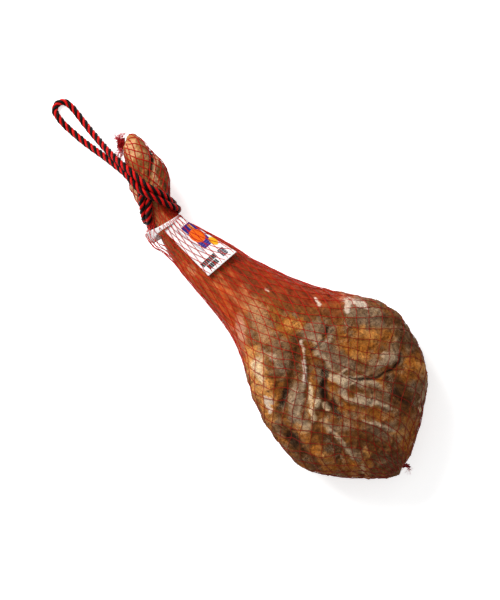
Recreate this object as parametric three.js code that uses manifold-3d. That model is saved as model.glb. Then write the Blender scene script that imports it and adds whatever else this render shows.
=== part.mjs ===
// A whole cured ham in a knitted net, with a paper label on its shank and a twisted hanging cord.
//
// Millimetres, +Z up. The ham lies on its broad side on z = 0, as on a table. The trotter points
// to -X, the butt to +X, and +Y is the side on which the rump bone bulges.
// The drawing's own x starts at the trotter's tip; FRAME_CENTRE moves it to the frame's origin,
// the middle of the resting object without its cord, on the ground.

import * as THREE from "three";
import { mergeVertices } from "three/addons/utils/BufferGeometryUtils.js";
import Module from "manifold-3d";

// ---- driving dimensions ---------------------------------------------------------------------

const DRAWING_LENGTH = 700; // the ham lies between x = 0 and here
const FRAME_CENTRE = { x: 350, y: 5 };
const SECTION_SIDES = 32;
const STATION_STEP = 22; // along the ham, between two rings of the loft
const END_CONE = 1 / 6; // height of a loft's end cone, as a share of its last section's width

const NET_GAP = 0.6; // skin to net
const NET_THICKNESS = 1.0; // two crossing threads
const CARD_THICKNESS = 0.6; // the label's coated card
const CARD_GAP = 0.9; // skin to card
const CARD_STIFFNESS = 1.45; // how much flatter than the skin the card stays, across the shank
const PIECE_GAP = 0.3; // between two pieces that touch

const CORD_DIAMETER = 10;
const CORD_SIDES = 8;
const CORD_STEPS = 84;

const COLOURS = {
  skin: { color: 0x8a5a34, roughness: 0.62, metalness: 0 },
  net: { color: 0xb3281c, roughness: 0.7, metalness: 0 },
  card: { color: 0xf4f1ee, roughness: 0.45, metalness: 0 },
  cord: { color: 0x7c1416, roughness: 0.6, metalness: 0 },
};

// ---- outlines ---------------------------------------------------------------------------------
// Each row is one cross-section: x, the left and right edge in y, the lowest and highest z.

const BODY = [
  [96, -48, -10, 32, 77],
  [134, -54, -22, 31, 75],
  [150, -57, -21, 30, 75.5],
  [162, -61, -18, 29, 77],
  [190, -68, -11, 27, 81],
  [222, -72, 2, 24, 87],
  [268, -73, 19, 18, 96],
  [316, -74, 39, 12, 106],
  [363, -79, 61, 5, 117],
  [411, -98, 91, -4, 125],
  [442, -115, 116, -8, 130],
  [474, -124, 138, -9, 133],
  [506, -129, 146, -9, 135],
  [537, -133, 142, -9, 135],
  [569, -136, 134, -8, 133],
  [600, -122, 118, -5, 128],
  [632, -98, 88, 2, 119],
  [664, -64, 46, 16, 102],
  [680, -43, 20, 28, 89],
  [692, -30, -10, 46, 72],
];

const TOE_LOBE = [
  [11, -2, 11, 48, 66],
  [20, -13, 16, 38, 77],
  [34, -22, 17.5, 32, 83],
  [50, -31, 17, 29, 86],
  [66, -42, 12, 28, 86],
  [84, -50, 6, 28, 83],
  [104, -55, -2, 29, 80],
  [126, -54, -16, 32, 74.5],
  [150, -53, -26, 38, 68],
];

const HEEL_LOBE = [
  [60, 13, 18, 52, 62],
  [66, 7, 18.5, 42, 70],
  [78, -2, 18.5, 35, 75],
  [92, -12, 15.5, 31, 77],
  [108, -24, 7.5, 31, 76],
  [124, -35, -6.5, 33, 74],
  [144, -44, -27, 38, 68],
];

// Where the net stands off the shank, over the label's band.
const POUCH = [
  [157.2, -77.5, -14.5, 24, 82],
  [164, -80, -14, 22, 83.5],
  [172, -80, -14, 22, 83.5],
  [194, -75, -16, 28, 80],
  [206, -69, -20, 34, 76],
];

const BODY_SQUARENESS = 2.25; // exponent of the section's superellipse: 2 is an ellipse
const LOBE_SQUARENESS = 2.1;

// The label: a trapezium whose narrow end is one piece with a loose band round the shank.
const LABEL = {
  top: { x: 161, left: -51, right: -17 },
  bottom: { x: 259, left: -47, right: 16 },
  bandWidth: 8,
  band: { y: -46.2, z: 53, halfWidth: 31, halfHeight: 28.5 },
  lift: 3.5, // how far the free end stands off the skin
};

// The cord is a closed ring laid double: these rows run along the middle of the two strands, from
// the bight on top of the shank, once round the shank, and out to the tip of the hanging loop.
// Each row is a point, the turn round the shank in which its outside faces (0 is +Y, 90 is up, 180
// is -Y and 270 is down), and the distance from the middle to either strand.
const CORD_BIGHT = [94.8, -29.2, 88.6];
const CORD_PAIR = [
  [99, -33, 88, 90, 5.3],
  [110, -43, 85, 100, 5.3],
  [121, -52.5, 78, 132, 5.3],
  [130, -59, 69, 152, 5.3],
  [135, -62.4, 54, 180, 5.3],
  [137, -61.8, 40, 204, 5.3],
  [139, -55, 29, 232, 5.3],
  [141, -38, 22, 270, 5.3],
  [143.5, -20, 28, 314, 5.3],
  [144, -12, 47, 350, 5.3],
  [141.5, -11.5, 65, 380, 5.3],
  [133.5, -15, 79.5, 408, 5.3],
  [120, -19.5, 89.5, 428, 5.3],
  [107, -25.5, 97.5, 445, 5.3],
  [92, -31, 100, 450, 5.3],
  [74, -32.6, 96, 476, 5.3],
  [52, -34.2, 84, 497, 5.3],
  [28, -37.6, 64.5, 488, 5.3],
  [5.5, -40.4, 46.5, 470, 5.9],
  [-14.5, -42.9, 32, 458, 7.7],
  [-35.5, -45.1, 19.5, 452, 9.9],
  [-56.3, -46.4, 11, 450, 11.8],
  [-77, -47.2, 7, 450, 13.6],
  [-92, -47, 5.5, 450, 13.4],
  [-103.5, -47.2, 5.5, 450, 10.2],
];
const CORD_TIP = [-108.5, -47.5, 5.5];
const CORD_ENDS_AT = 7; // the row, under the shank, where the ring is closed

const HOCK_GATHER = { x: 15, y: -10, z: 57, radius: 12, length: 13, turn: -131 };
const BUTT_KNOT = { x: 689, y: -8, z: 57, radius: 3.5, length: 12, turn: 49 };

// ---- solids -----------------------------------------------------------------------------------

const wasm = await Module();
wasm.setup();

/** A closed three.js geometry as a manifold-3d solid. */
function solid(geometry) {
  const bare = new THREE.BufferGeometry();
  bare.setAttribute("position", geometry.getAttribute("position"));
  if (geometry.index) bare.setIndex(geometry.index);
  const merged = mergeVertices(bare, 1e-4);
  return new wasm.Manifold(
    new wasm.Mesh({
      numProp: 3,
      vertProperties: new Float32Array(merged.getAttribute("position").array),
      triVerts: new Uint32Array(merged.index.array),
    }),
  );
}

/** A manifold-3d solid as a three.js geometry. */
function geometryOf(made) {
  const mesh = made.getMesh();
  const geometry = new THREE.BufferGeometry();
  geometry.setAttribute("position", new THREE.BufferAttribute(mesh.vertProperties, 3));
  geometry.setIndex(new THREE.BufferAttribute(mesh.triVerts, 1));
  geometry.computeVertexNormals();
  return geometry;
}

/** A named mesh in one of the part's finishes. */
function piece(name, geometry, finish) {
  const mesh = new THREE.Mesh(geometry, new THREE.MeshStandardMaterial(COLOURS[finish]));
  mesh.name = name;
  return mesh;
}

/** The value at t between b and c of the smooth curve through a, b, c and d. */
function smooth(a, b, c, d, t) {
  const slopeB = (c - a) / 2;
  const slopeC = (d - b) / 2;
  const cubic = 2 * b - 2 * c + slopeB + slopeC;
  const square = -3 * b + 3 * c - 2 * slopeB - slopeC;
  return ((cubic * t + square) * t + slopeB) * t + b;
}

/** The rows of an outline again, with a row about every STATION_STEP. */
function stations(rows) {
  const made = [];
  for (let i = 0; i + 1 < rows.length; i++) {
    const [a, b, c, d] = [-1, 0, 1, 2].map(
      (k) => rows[THREE.MathUtils.clamp(i + k, 0, rows.length - 1)],
    );
    const steps = Math.max(1, Math.round((c[0] - b[0]) / STATION_STEP));
    for (let k = 0; k < steps; k++)
      made.push(b.map((_, j) => smooth(a[j], b[j], c[j], d[j], k / steps)));
  }
  made.push([...rows.at(-1)]);
  return made;
}

/** One point of a section: angle 0 is the +Y side, a quarter turn further is the top. */
function sectionPoint([x, left, right, low, high], angle, squareness, grow) {
  const bend = (v) => Math.sign(v) * Math.abs(v) ** (2 / squareness);
  const halfWidth = (right - left) / 2 + grow;
  const halfHeight = (high - low) / 2 + grow;
  return new THREE.Vector3(
    x,
    (left + right) / 2 + halfWidth * bend(Math.cos(angle)),
    (low + high) / 2 + halfHeight * bend(Math.sin(angle)),
  );
}

/** A closed skin over rings of points that all run the same way, with a tip at each end. */
function skinOver(rings, firstTip, lastTip) {
  const sides = rings[0].length;
  const positions = [firstTip, ...rings.flat(), lastTip].flatMap((p) => p.toArray());
  const last = positions.length / 3 - 1;
  const at = (ring, side) => 1 + ring * sides + (side % sides);
  const index = [];
  for (let s = 0; s < sides; s++) {
    index.push(0, at(0, s + 1), at(0, s));
    for (let r = 0; r + 1 < rings.length; r++) {
      index.push(at(r, s), at(r, s + 1), at(r + 1, s));
      index.push(at(r, s + 1), at(r + 1, s + 1), at(r + 1, s));
    }
    index.push(last, at(rings.length - 1, s), at(rings.length - 1, s + 1));
  }
  const geometry = new THREE.BufferGeometry();
  geometry.setAttribute("position", new THREE.Float32BufferAttribute(positions, 3));
  geometry.setIndex(index);
  return geometry;
}

/** A solid through the sections of an outline, grown outwards by grow. */
function loft(outline, squareness, grow = 0) {
  const rows = stations(outline);
  rows[0][0] -= grow;
  rows.at(-1)[0] += grow;
  const rings = rows.map((row) =>
    Array.from({ length: SECTION_SIDES }, (_, k) =>
      sectionPoint(row, (2 * Math.PI * k) / SECTION_SIDES, squareness, grow),
    ),
  );
  const tip = ([x, left, right, low, high], side) =>
    new THREE.Vector3(x + side * END_CONE * (right - left), (left + right) / 2, (low + high) / 2);
  return solid(skinOver(rings, tip(rows[0], -1), tip(rows.at(-1), 1)));
}

/** The ham's whole outside, grown outwards by grow, before the ground flattens it. */
function hamBody(grow = 0) {
  return loft(BODY, BODY_SQUARENESS, grow)
    .add(loft(TOE_LOBE, LOBE_SQUARENESS, grow))
    .add(loft(HEEL_LOBE, LOBE_SQUARENESS, grow));
}

/** Everything below the ground. */
function ground() {
  const [length, width, depth] = [2 * DRAWING_LENGTH, DRAWING_LENGTH, 60];
  return solid(
    new THREE.BoxGeometry(length, width, depth).translate(DRAWING_LENGTH / 2, 0, -depth / 2),
  );
}

// ---- label ------------------------------------------------------------------------------------

/** The body's section at x. */
function bodySection(x) {
  const rows = stations(BODY);
  const next = Math.max(1, rows.findIndex((row) => row[0] >= x));
  const [a, b] = [rows[next - 1], rows[next]];
  const share = (x - a[0]) / (b[0] - a[0]);
  return a.map((v, j) => THREE.MathUtils.lerp(v, b[j], share));
}

/** The height of the card above the ground: stiffer, so less curved, than the skin below it. */
function cardHeight(x, y, along) {
  const [, left, right, low, high] = bodySection(x);
  const across = (y - (left + right) / 2) / ((CARD_STIFFNESS * (right - left)) / 2);
  const halfHeight = (high - low) / 2;
  const crown = (low + high) / 2 + halfHeight * Math.sqrt(Math.max(0, 1 - across * across));
  return crown + CARD_GAP + LABEL.lift * along * along;
}

/** The tag's slab, between two offsets from its lower face. */
function tagSlab(from, to, margin = 0) {
  const rows = 12;
  const columns = 8;
  const ring = (i) => {
    const along = i / rows;
    const x = THREE.MathUtils.lerp(LABEL.top.x - margin, LABEL.bottom.x + margin, along);
    const left = THREE.MathUtils.lerp(LABEL.top.left, LABEL.bottom.left, along) - margin;
    const right = THREE.MathUtils.lerp(LABEL.top.right, LABEL.bottom.right, along) + margin;
    const edge = (offset) =>
      Array.from({ length: columns + 1 }, (_, k) => {
        const y = THREE.MathUtils.lerp(right, left, k / columns);
        return new THREE.Vector3(x, y, cardHeight(x, y, along) + offset);
      });
    return [...edge(to), ...edge(from).reverse()];
  };
  const rings = Array.from({ length: rows + 1 }, (_, i) => ring(i));
  const middle = (points) =>
    points.reduce((sum, p) => sum.add(p), new THREE.Vector3()).divideScalar(points.length);
  return solid(skinOver(rings, middle(rings[0]), middle(rings.at(-1))));
}

/** An oval slab across the shank, for the band and the room inside it. */
function bandOval(grow, width) {
  const { y, z, halfWidth, halfHeight } = LABEL.band;
  const radii = [halfWidth + grow, halfHeight + grow];
  const oval = new THREE.Shape().absellipse(0, 0, ...radii, 0, 2 * Math.PI);
  const cut = { depth: width, bevelEnabled: false, curveSegments: 20 };
  const geometry = new THREE.ExtrudeGeometry(oval, cut);
  geometry.rotateX(Math.PI / 2).rotateZ(Math.PI / 2);
  return solid(geometry.translate(LABEL.top.x - width / 2, y, z));
}

function label() {
  const band = bandOval(CARD_THICKNESS, LABEL.bandWidth).subtract(bandOval(0, LABEL.bandWidth + 2));
  return band.add(tagSlab(0, CARD_THICKNESS)).subtract(hamBody(CARD_GAP / 2));
}

// ---- net --------------------------------------------------------------------------------------

/** The space inside the net at an offset from the skin, bulging over the label and its band. */
function netSpace(grow) {
  const underTag = -8; // deep enough that the tag's room joins the ham's
  return hamBody(grow)
    .add(tagSlab(underTag, CARD_THICKNESS + PIECE_GAP + grow, PIECE_GAP + grow))
    .add(loft(POUCH, 2, grow));
}

function net() {
  return netSpace(NET_GAP + NET_THICKNESS).subtract(netSpace(NET_GAP)).subtract(ground());
}

/** The bunched end of the net on the trotter's cut tip: a short stub with a hollow mouth. */
function hockGather() {
  const { x, y, z, radius, length, turn } = HOCK_GATHER;
  const profile = [
    [0, 0],
    [radius * 0.82, 0],
    [radius, length * 0.3],
    [radius * 0.94, length * 0.85],
    [radius * 0.7, length],
    [radius * 0.45, length * 0.9],
    [0, length * 0.75],
  ].map(([r, h]) => new THREE.Vector2(r, h));
  return solid(
    new THREE.LatheGeometry(profile, 20)
      .rotateZ(-Math.PI / 2)
      .rotateZ(THREE.MathUtils.degToRad(turn))
      .translate(x, y, z),
  ).subtract(netSpace(NET_GAP + NET_THICKNESS + PIECE_GAP));
}

/** The small knot that closes the net behind the butt. */
function buttKnot() {
  const { x, y, z, radius, length, turn } = BUTT_KNOT;
  const shape = new THREE.CapsuleGeometry(radius, length, 4, 12)
    .translate(0, length / 2, 0)
    .rotateZ(THREE.MathUtils.degToRad(turn - 90));
  const knot = solid(shape.translate(x, y, z));
  return knot.subtract(netSpace(NET_GAP + NET_THICKNESS + PIECE_GAP));
}

// ---- cord -------------------------------------------------------------------------------------

/** One of the cord's two strands: side is 1 or -1. */
function cordStrand(side) {
  const middles = CORD_PAIR.map(([x, y, z]) => new THREE.Vector3(x, y, z));
  return CORD_PAIR.map(([, , , turn, apart], i) => {
    const angle = THREE.MathUtils.degToRad(turn);
    const outside = new THREE.Vector3(0, Math.cos(angle), Math.sin(angle));
    const before = middles[Math.max(0, i - 1)];
    const after = middles[Math.min(middles.length - 1, i + 1)];
    const across = new THREE.Vector3().crossVectors(outside, after.clone().sub(before));
    return middles[i].clone().addScaledVector(across.normalize(), side * apart);
  });
}

/** The cord as one round tube, whose two ends meet under the shank. */
function cord() {
  const [near, far] = [cordStrand(1), cordStrand(-1)];
  const points = [
    ...near.slice(CORD_ENDS_AT),
    new THREE.Vector3(...CORD_TIP),
    ...far.reverse(),
    new THREE.Vector3(...CORD_BIGHT),
    ...near.slice(0, CORD_ENDS_AT),
  ];
  const section = new THREE.Shape().absarc(0, 0, CORD_DIAMETER / 2, 0, 2 * Math.PI);
  return new THREE.ExtrudeGeometry(section, {
    steps: CORD_STEPS,
    extrudePath: new THREE.CatmullRomCurve3(points, false, "centripetal"),
    curveSegments: CORD_SIDES,
    bevelEnabled: false,
  });
}

// ---- the object -------------------------------------------------------------------------------

const ham = new THREE.Group();
ham.add(
  piece("ham", geometryOf(hamBody().subtract(ground())), "skin"),
  piece("net_sleeve", geometryOf(net()), "net"),
  piece("net_gather_hock", geometryOf(hockGather()), "net"),
  piece("net_knot_butt", geometryOf(buttKnot()), "net"),
  piece("label", geometryOf(label()), "card"),
  piece("hanging_cord", cord(), "cord"),
);
ham.position.set(-FRAME_CENTRE.x, -FRAME_CENTRE.y, 0);

export default ham;
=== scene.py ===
"""A whole cured ham in its knitted net, with a hangtag on the shank and a twisted hanging cord.

Every size of the ham and what it wears is in millimetres, in the ham's own drawing: x runs from
the trotter's tip to the butt, y across, z up from the surface it lies on. `to_frame` turns such
points into the frame's metres. The studio's sizes are in metres.
"""

import logging
import math
from dataclasses import dataclass, field
from enum import Enum
from typing import Any, Callable, Iterable, Sequence

import bmesh
import bpy
import numpy as np
from bpy.types import Material, Mesh, Node, NodeSocket, NodeTree, Object
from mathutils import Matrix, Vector
from mathutils.bvhtree import BVHTree


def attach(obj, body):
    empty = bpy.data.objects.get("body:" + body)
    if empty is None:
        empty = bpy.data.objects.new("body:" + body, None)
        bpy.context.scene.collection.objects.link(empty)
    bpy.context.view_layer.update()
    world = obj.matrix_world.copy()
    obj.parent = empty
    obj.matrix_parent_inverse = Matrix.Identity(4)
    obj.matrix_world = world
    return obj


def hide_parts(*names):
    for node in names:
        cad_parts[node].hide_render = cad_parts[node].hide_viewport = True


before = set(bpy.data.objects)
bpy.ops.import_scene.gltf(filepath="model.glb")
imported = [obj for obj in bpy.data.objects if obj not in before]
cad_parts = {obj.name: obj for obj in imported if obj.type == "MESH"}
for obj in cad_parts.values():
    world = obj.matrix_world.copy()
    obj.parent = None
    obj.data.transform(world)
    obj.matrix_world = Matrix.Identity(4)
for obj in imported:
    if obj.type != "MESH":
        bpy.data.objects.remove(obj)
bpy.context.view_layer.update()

LOG = logging.getLogger("ham")
FRAME_CENTRE = np.array([350.0, 5.0, 0.0])  # the frame's origin, in the drawing
MM = 0.001
WELD = 0.01  # closer vertices are merged
BODY = "root"
STUDIO_LIGHT = 1.3  # what the lamps and the sky together make of a white sheet on the floor

MIX_SHARE, MIX_FIRST, MIX_SECOND, MIX_COLOUR = 0, 6, 7, 2  # a Mix node's sockets for colours
NO_TURN = (0.0, 0.0, 0.0)
FULL_TURN = (6.28, 6.28, 6.28)  # radians about each axis

Colour = tuple[float, float, float]
Place = tuple[float, float, float]
Pair = tuple[float, float]
Points = np.ndarray


# ---- places and meshes ----


def to_frame(points: Any) -> Points:
    """Drawing points in millimetres as frame points in metres."""
    return (np.asarray(points, float) - FRAME_CENTRE) * MM


def to_drawing(points: Any) -> Points:
    """Frame points in metres as drawing points in millimetres."""
    return np.asarray(points, float) / MM + FRAME_CENTRE


def shown_all(colours: Points) -> Points:
    """The paints that show as display colours, 0 to 255 a channel, under the studio's light."""
    share = np.clip(colours / 255, 0, 1)
    return np.where(share <= 0.04045, share / 12.92, ((share + 0.055) / 1.055) ** 2.4) / STUDIO_LIGHT


def shown(red: int, green: int, blue: int) -> Colour:
    """The paint that shows as one display colour."""
    return tuple(shown_all(np.array([red, green, blue])).tolist())


def smoothstep(low: float, high: float, value: Points) -> Points:
    """0 below low, 1 above high, and a smooth rise between them."""
    share = np.clip((value - low) / (high - low), 0, 1)
    return share * share * (3 - 2 * share)


def points_of(mesh: Mesh) -> Points:
    """A mesh's vertices as drawing points."""
    flat = np.empty(len(mesh.vertices) * 3, np.float32)
    mesh.vertices.foreach_get("co", flat)
    return to_drawing(flat.reshape(-1, 3))


def normals_of(mesh: Mesh) -> Points:
    """A mesh's vertex normals."""
    flat = np.empty(len(mesh.vertices) * 3, np.float32)
    mesh.vertex_normals.foreach_get("vector", flat)
    return flat.reshape(-1, 3).astype(float)


def set_points(mesh: Mesh, points: Points) -> None:
    """Moves a mesh's vertices to drawing points."""
    mesh.vertices.foreach_set("co", to_frame(points).astype(np.float32).ravel())
    mesh.update()


def set_attribute(mesh: Mesh, name: str, values: Points) -> None:
    """Stores one number for each vertex under a name that a finish reads."""
    layer = mesh.attributes.new(name, "FLOAT", "POINT")
    layer.data.foreach_set("value", values.astype(np.float32))


def new_object(name: str, data: Any) -> Object:
    """An object at the origin, linked to the scene."""
    made = bpy.data.objects.new(name, data)
    bpy.context.scene.collection.objects.link(made)
    return made


def mesh_object(name: str, points: Any, faces: Sequence[Sequence[int]]) -> Object:
    """An object with a mesh.

    Args:
        name: the object's name and the mesh's.
        points: the vertices, as drawing points.
        faces: the vertex numbers of each face.

    Returns:
        The new object.
    """
    mesh = bpy.data.meshes.new(name)
    mesh.from_pydata(to_frame(points).tolist(), [], [list(face) for face in faces])
    mesh.update()
    return new_object(name, mesh)


def grid_faces(rows: int, width: int, wraps: bool = False) -> list[tuple[int, int, int, int]]:
    """The faces between rows of vertices.

    Args:
        rows: how many rows of faces there are.
        width: how many vertices each row has.
        wraps: whether each row closes on itself.

    Returns:
        The vertex numbers of each face.
    """
    faces = []
    for row in range(rows):
        near, far = row * width, (row + 1) * width
        for place in range(width if wraps else width - 1):
            after = (place + 1) % width
            faces.append((near + place, near + after, far + after, far + place))
    return faces


def curve_object(name: str, splines: Iterable[Points]) -> Object:
    """An object with open poly splines.

    Args:
        name: the object's name and the curve's.
        splines: the drawing points of each spline.

    Returns:
        The new object.
    """
    curve = bpy.data.curves.new(name, "CURVE")
    curve.dimensions = "3D"
    for points in splines:
        spline = curve.splines.new("POLY")
        spline.points.add(len(points) - 1)
        with_weight = np.hstack([to_frame(points), np.ones((len(points), 1))])
        spline.points.foreach_set("co", with_weight.ravel())
    return new_object(name, curve)


def settle(made: Object) -> Object:
    """Turns an object into a plain one.

    Args:
        made: an object with live modifiers, which is used up.

    Returns:
        A mesh object of the same name, as the modifiers left it.
    """
    graph = bpy.context.evaluated_depsgraph_get()
    mesh = bpy.data.meshes.new_from_object(
        made.evaluated_get(graph), preserve_all_data_layers=True, depsgraph=graph
    )
    name = made.name
    bpy.data.objects.remove(made)
    mesh.name = name
    return new_object(name, mesh)


def shade_smooth(made: Object) -> None:
    """Smooth shading on every face."""
    made.data.polygons.foreach_set("use_smooth", [True] * len(made.data.polygons))
    made.data.update()


def surface_of(made: Object) -> BVHTree:
    """An object's faces, ready for ray casts in frame metres."""
    return BVHTree.FromObject(made, bpy.context.evaluated_depsgraph_get())


def finish_piece(made: Object, slot: str, nodes: Sequence[str] = ()) -> None:
    """Smooths a finished piece's shading, rides it on the body, hides the CAD nodes that it replaces, and
    logs its triangles and material slot.

    Args:
        made: the finished piece.
        slot: the name of its material slot, which is only logged.
        nodes: the CAD nodes that it replaces.
    """
    shade_smooth(made)
    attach(made, BODY)
    if nodes:
        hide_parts(*nodes)
    triangles = sum(len(face.vertices) - 2 for face in made.data.polygons)
    LOG.info("%s: %d triangles, slot %s", made.name, triangles, slot)


class Lattice:
    """Smooth noise in space, the same on every run, from a seeded block of random values."""

    SIZE = 48

    def __init__(self, seed: int) -> None:
        """Draws the block's values."""
        self.values = np.random.default_rng(seed).uniform(-1, 1, (self.SIZE,) * 3)

    def at(self, points: Points, scale: float | Sequence[float]) -> Points:
        """Noise from -1 to 1.

        Args:
            points: drawing points.
            scale: how wide its lumps are in millimetres, once or for each axis.

        Returns:
            The noise at each point.
        """
        share = points / np.asarray(scale, float)
        cell = np.floor(share).astype(int)
        part = share - cell
        part = part * part * (3 - 2 * part)
        low, high = cell % self.SIZE, (cell + 1) % self.SIZE
        total = np.zeros(len(points))
        for corner in range(8):
            pick = [(corner >> axis) & 1 for axis in range(3)]
            index = tuple(np.where(pick[a], high[:, a], low[:, a]) for a in range(3))
            weight = np.prod([part[:, a] if pick[a] else 1 - part[:, a] for a in range(3)], axis=0)
            total += weight * self.values[index]
        return total

    def fractal(self, points: Points, scale: float | Sequence[float], octaves: int = 4) -> Points:
        """Several noises on each other, each half the size and strength of the one before.

        Args:
            points: drawing points.
            scale: how wide the first noise's lumps are in millimetres, once or for each axis.
            octaves: how many noises there are.

        Returns:
            The sum at each point.
        """
        total = np.zeros(len(points))
        for octave in range(octaves):
            step = 2.0**octave
            total += self.at(points + 31.7 * octave, np.asarray(scale, float) / step) / step
        return total


# ---- node graphs ----


class Graph:
    """A node tree that is built by code."""

    def __init__(self, tree: NodeTree) -> None:
        """Keeps the tree to build in."""
        self.tree = tree

    def node(
        self, kind: str, settings: dict[str, Any] | None = None, inputs: dict[str | int, Any] | None = None
    ) -> Node:
        """Adds a node.

        Args:
            kind: the node's type.
            settings: its own properties, set first.
            inputs: a value or a link for sockets, by name or number.

        Returns:
            The new node.
        """
        made = self.tree.nodes.new(kind)
        for key, value in (settings or {}).items():
            setattr(made, key, value)
        for key, value in (inputs or {}).items():
            self.feed(made.inputs[key], value)
        return made

    def feed(self, socket: NodeSocket, value: Any) -> None:
        """Gives a socket what it reads.

        Args:
            socket: the input socket.
            value: a field or another socket to link, or a plain value to set.
        """
        if isinstance(value, Field):
            value = value.socket
        if isinstance(value, NodeSocket):
            self.tree.links.new(value, socket)
        elif socket.type == "RGBA" and len(value) == 3:
            socket.default_value = (*value, 1)
        else:
            socket.default_value = value


class Field:
    """A number that varies over a surface, written as a Python expression."""

    def __init__(self, graph: "ShaderGraph", socket: NodeSocket) -> None:
        """Wraps a socket of the graph."""
        self.graph = graph
        self.socket = socket

    def _math(self, operation: str, first: Any, second: Any, clamp: bool = False) -> "Field":
        """A Math node's result, which clamp keeps from 0 to 1."""
        settings = {"operation": operation, "use_clamp": clamp}
        made = self.graph.node("ShaderNodeMath", settings, {0: first, 1: second})
        return Field(self.graph, made.outputs[0])

    def __add__(self, other: Any) -> "Field":
        """This value and another, added."""
        return self._math("ADD", self, other)

    def __sub__(self, other: Any) -> "Field":
        """This value less another."""
        return self._math("SUBTRACT", self, other)

    def __rsub__(self, other: Any) -> "Field":
        """Another value less this."""
        return self._math("SUBTRACT", other, self)

    def __mul__(self, other: Any) -> "Field":
        """This value times another."""
        return self._math("MULTIPLY", self, other)

    def __truediv__(self, other: Any) -> "Field":
        """This value over another."""
        return self._math("DIVIDE", self, other)

    __radd__ = __add__
    __rmul__ = __mul__

    def power(self, exponent: float) -> "Field":
        """This value to a power."""
        return self._math("POWER", self, exponent)

    def clamped(self) -> "Field":
        """This value, kept from 0 to 1."""
        return self._math("ADD", self, 0.0, clamp=True)

    def most(self, other: Any) -> "Field":
        """The larger of this and another."""
        return self._math("MAXIMUM", self, other)

    def size(self) -> "Field":
        """This value without its sign."""
        return self._math("ABSOLUTE", self, 0.0)

    def above(self, low: float, high: float) -> "Field":
        """A soft step.

        Args:
            low: the value below which the step is 0.
            high: the value above which it is 1.

        Returns:
            The step as a field.
        """
        inputs = {"Value": self, "From Min": low, "From Max": high}
        settings = {"interpolation_type": "SMOOTHSTEP"}
        made = self.graph.node("ShaderNodeMapRange", settings, inputs)
        return Field(self.graph, made.outputs["Result"])


class ShaderGraph(Graph):
    """A material's node tree, with the patterns that the finishes share."""

    def __init__(self, name: str) -> None:
        """Starts a material with an empty tree.

        Args:
            name: the material's name.
        """
        self.material = bpy.data.materials.new(name)
        self.material.use_nodes = True
        super().__init__(self.material.node_tree)
        self.tree.nodes.clear()
        self.place = self.node("ShaderNodeTexCoord").outputs["Object"]

    def attribute(self, name: str) -> Field:
        """A number stored on the mesh."""
        return Field(self, self.node("ShaderNodeAttribute", {"attribute_name": name}).outputs["Fac"])

    def split(self, place: Any) -> tuple[Field, Field]:
        """The first two parts of a place."""
        parts = self.node("ShaderNodeSeparateXYZ", None, {"Vector": place}).outputs
        return Field(self, parts["X"]), Field(self, parts["Y"])

    def fraction(self, value: Field) -> Field:
        """What is left of a value past the whole number below it."""
        made = self.node("ShaderNodeMath", {"operation": "FRACT"}, {0: value})
        return Field(self, made.outputs[0])

    def stretched(self, stretch: Sequence[float]) -> NodeSocket:
        """The place on the object, squeezed by a factor along each axis."""
        inputs = {"Vector": self.place, "Scale": stretch}
        return self.node("ShaderNodeMapping", None, inputs).outputs["Vector"]

    def noise(
        self,
        scale: float,
        detail: float = 3.0,
        roughness: float = 0.55,
        distortion: float = 0.0,
        at: Any = None,
    ) -> Field:
        """Cloudy noise from 0 to 1.

        Args:
            scale: how many lumps there are to the metre.
            detail: how many finer noises lie on it.
            roughness: how strong those are.
            distortion: how far it is swirled.
            at: the place that it reads, or the place on the object.

        Returns:
            The noise as a field.
        """
        inputs = {
            "Vector": at or self.place,
            "Scale": scale,
            "Detail": detail,
            "Roughness": roughness,
            "Distortion": distortion,
        }
        return Field(self, self.node("ShaderNodeTexNoise", None, inputs).outputs["Fac"])

    def mix(self, first: Any, second: Any, share: Any, blend: str = "MIX") -> NodeSocket:
        """Two colours, mixed.

        Args:
            first: the colour underneath.
            second: the colour on top.
            share: how much of the second there is.
            blend: how it is laid on.

        Returns:
            The mixed colour.
        """
        settings = {"data_type": "RGBA", "blend_type": blend}
        inputs = {MIX_SHARE: share, MIX_FIRST: first, MIX_SECOND: second}
        return self.node("ShaderNodeMix", settings, inputs).outputs[MIX_COLOUR]

    def bump(self, height: Any, depth_mm: float, after: Any = None) -> NodeSocket:
        """A normal tilted by relief.

        Args:
            height: the relief, from 0 to 1.
            depth_mm: how deep it is in millimetres.
            after: a normal that it is laid over.

        Returns:
            The tilted normal.
        """
        inputs = {"Height": height, "Distance": depth_mm * MM, "Strength": 1.0}
        if after is not None:
            inputs["Normal"] = after
        return self.node("ShaderNodeBump", None, inputs).outputs["Normal"]

    def shade(self, inputs: dict[str, Any]) -> Material:
        """Ends the tree in a Principled BSDF with these inputs."""
        shader = self.node("ShaderNodeBsdfPrincipled", None, inputs)
        self.node("ShaderNodeOutputMaterial", None, {"Surface": shader.outputs["BSDF"]})
        return self.material


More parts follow.
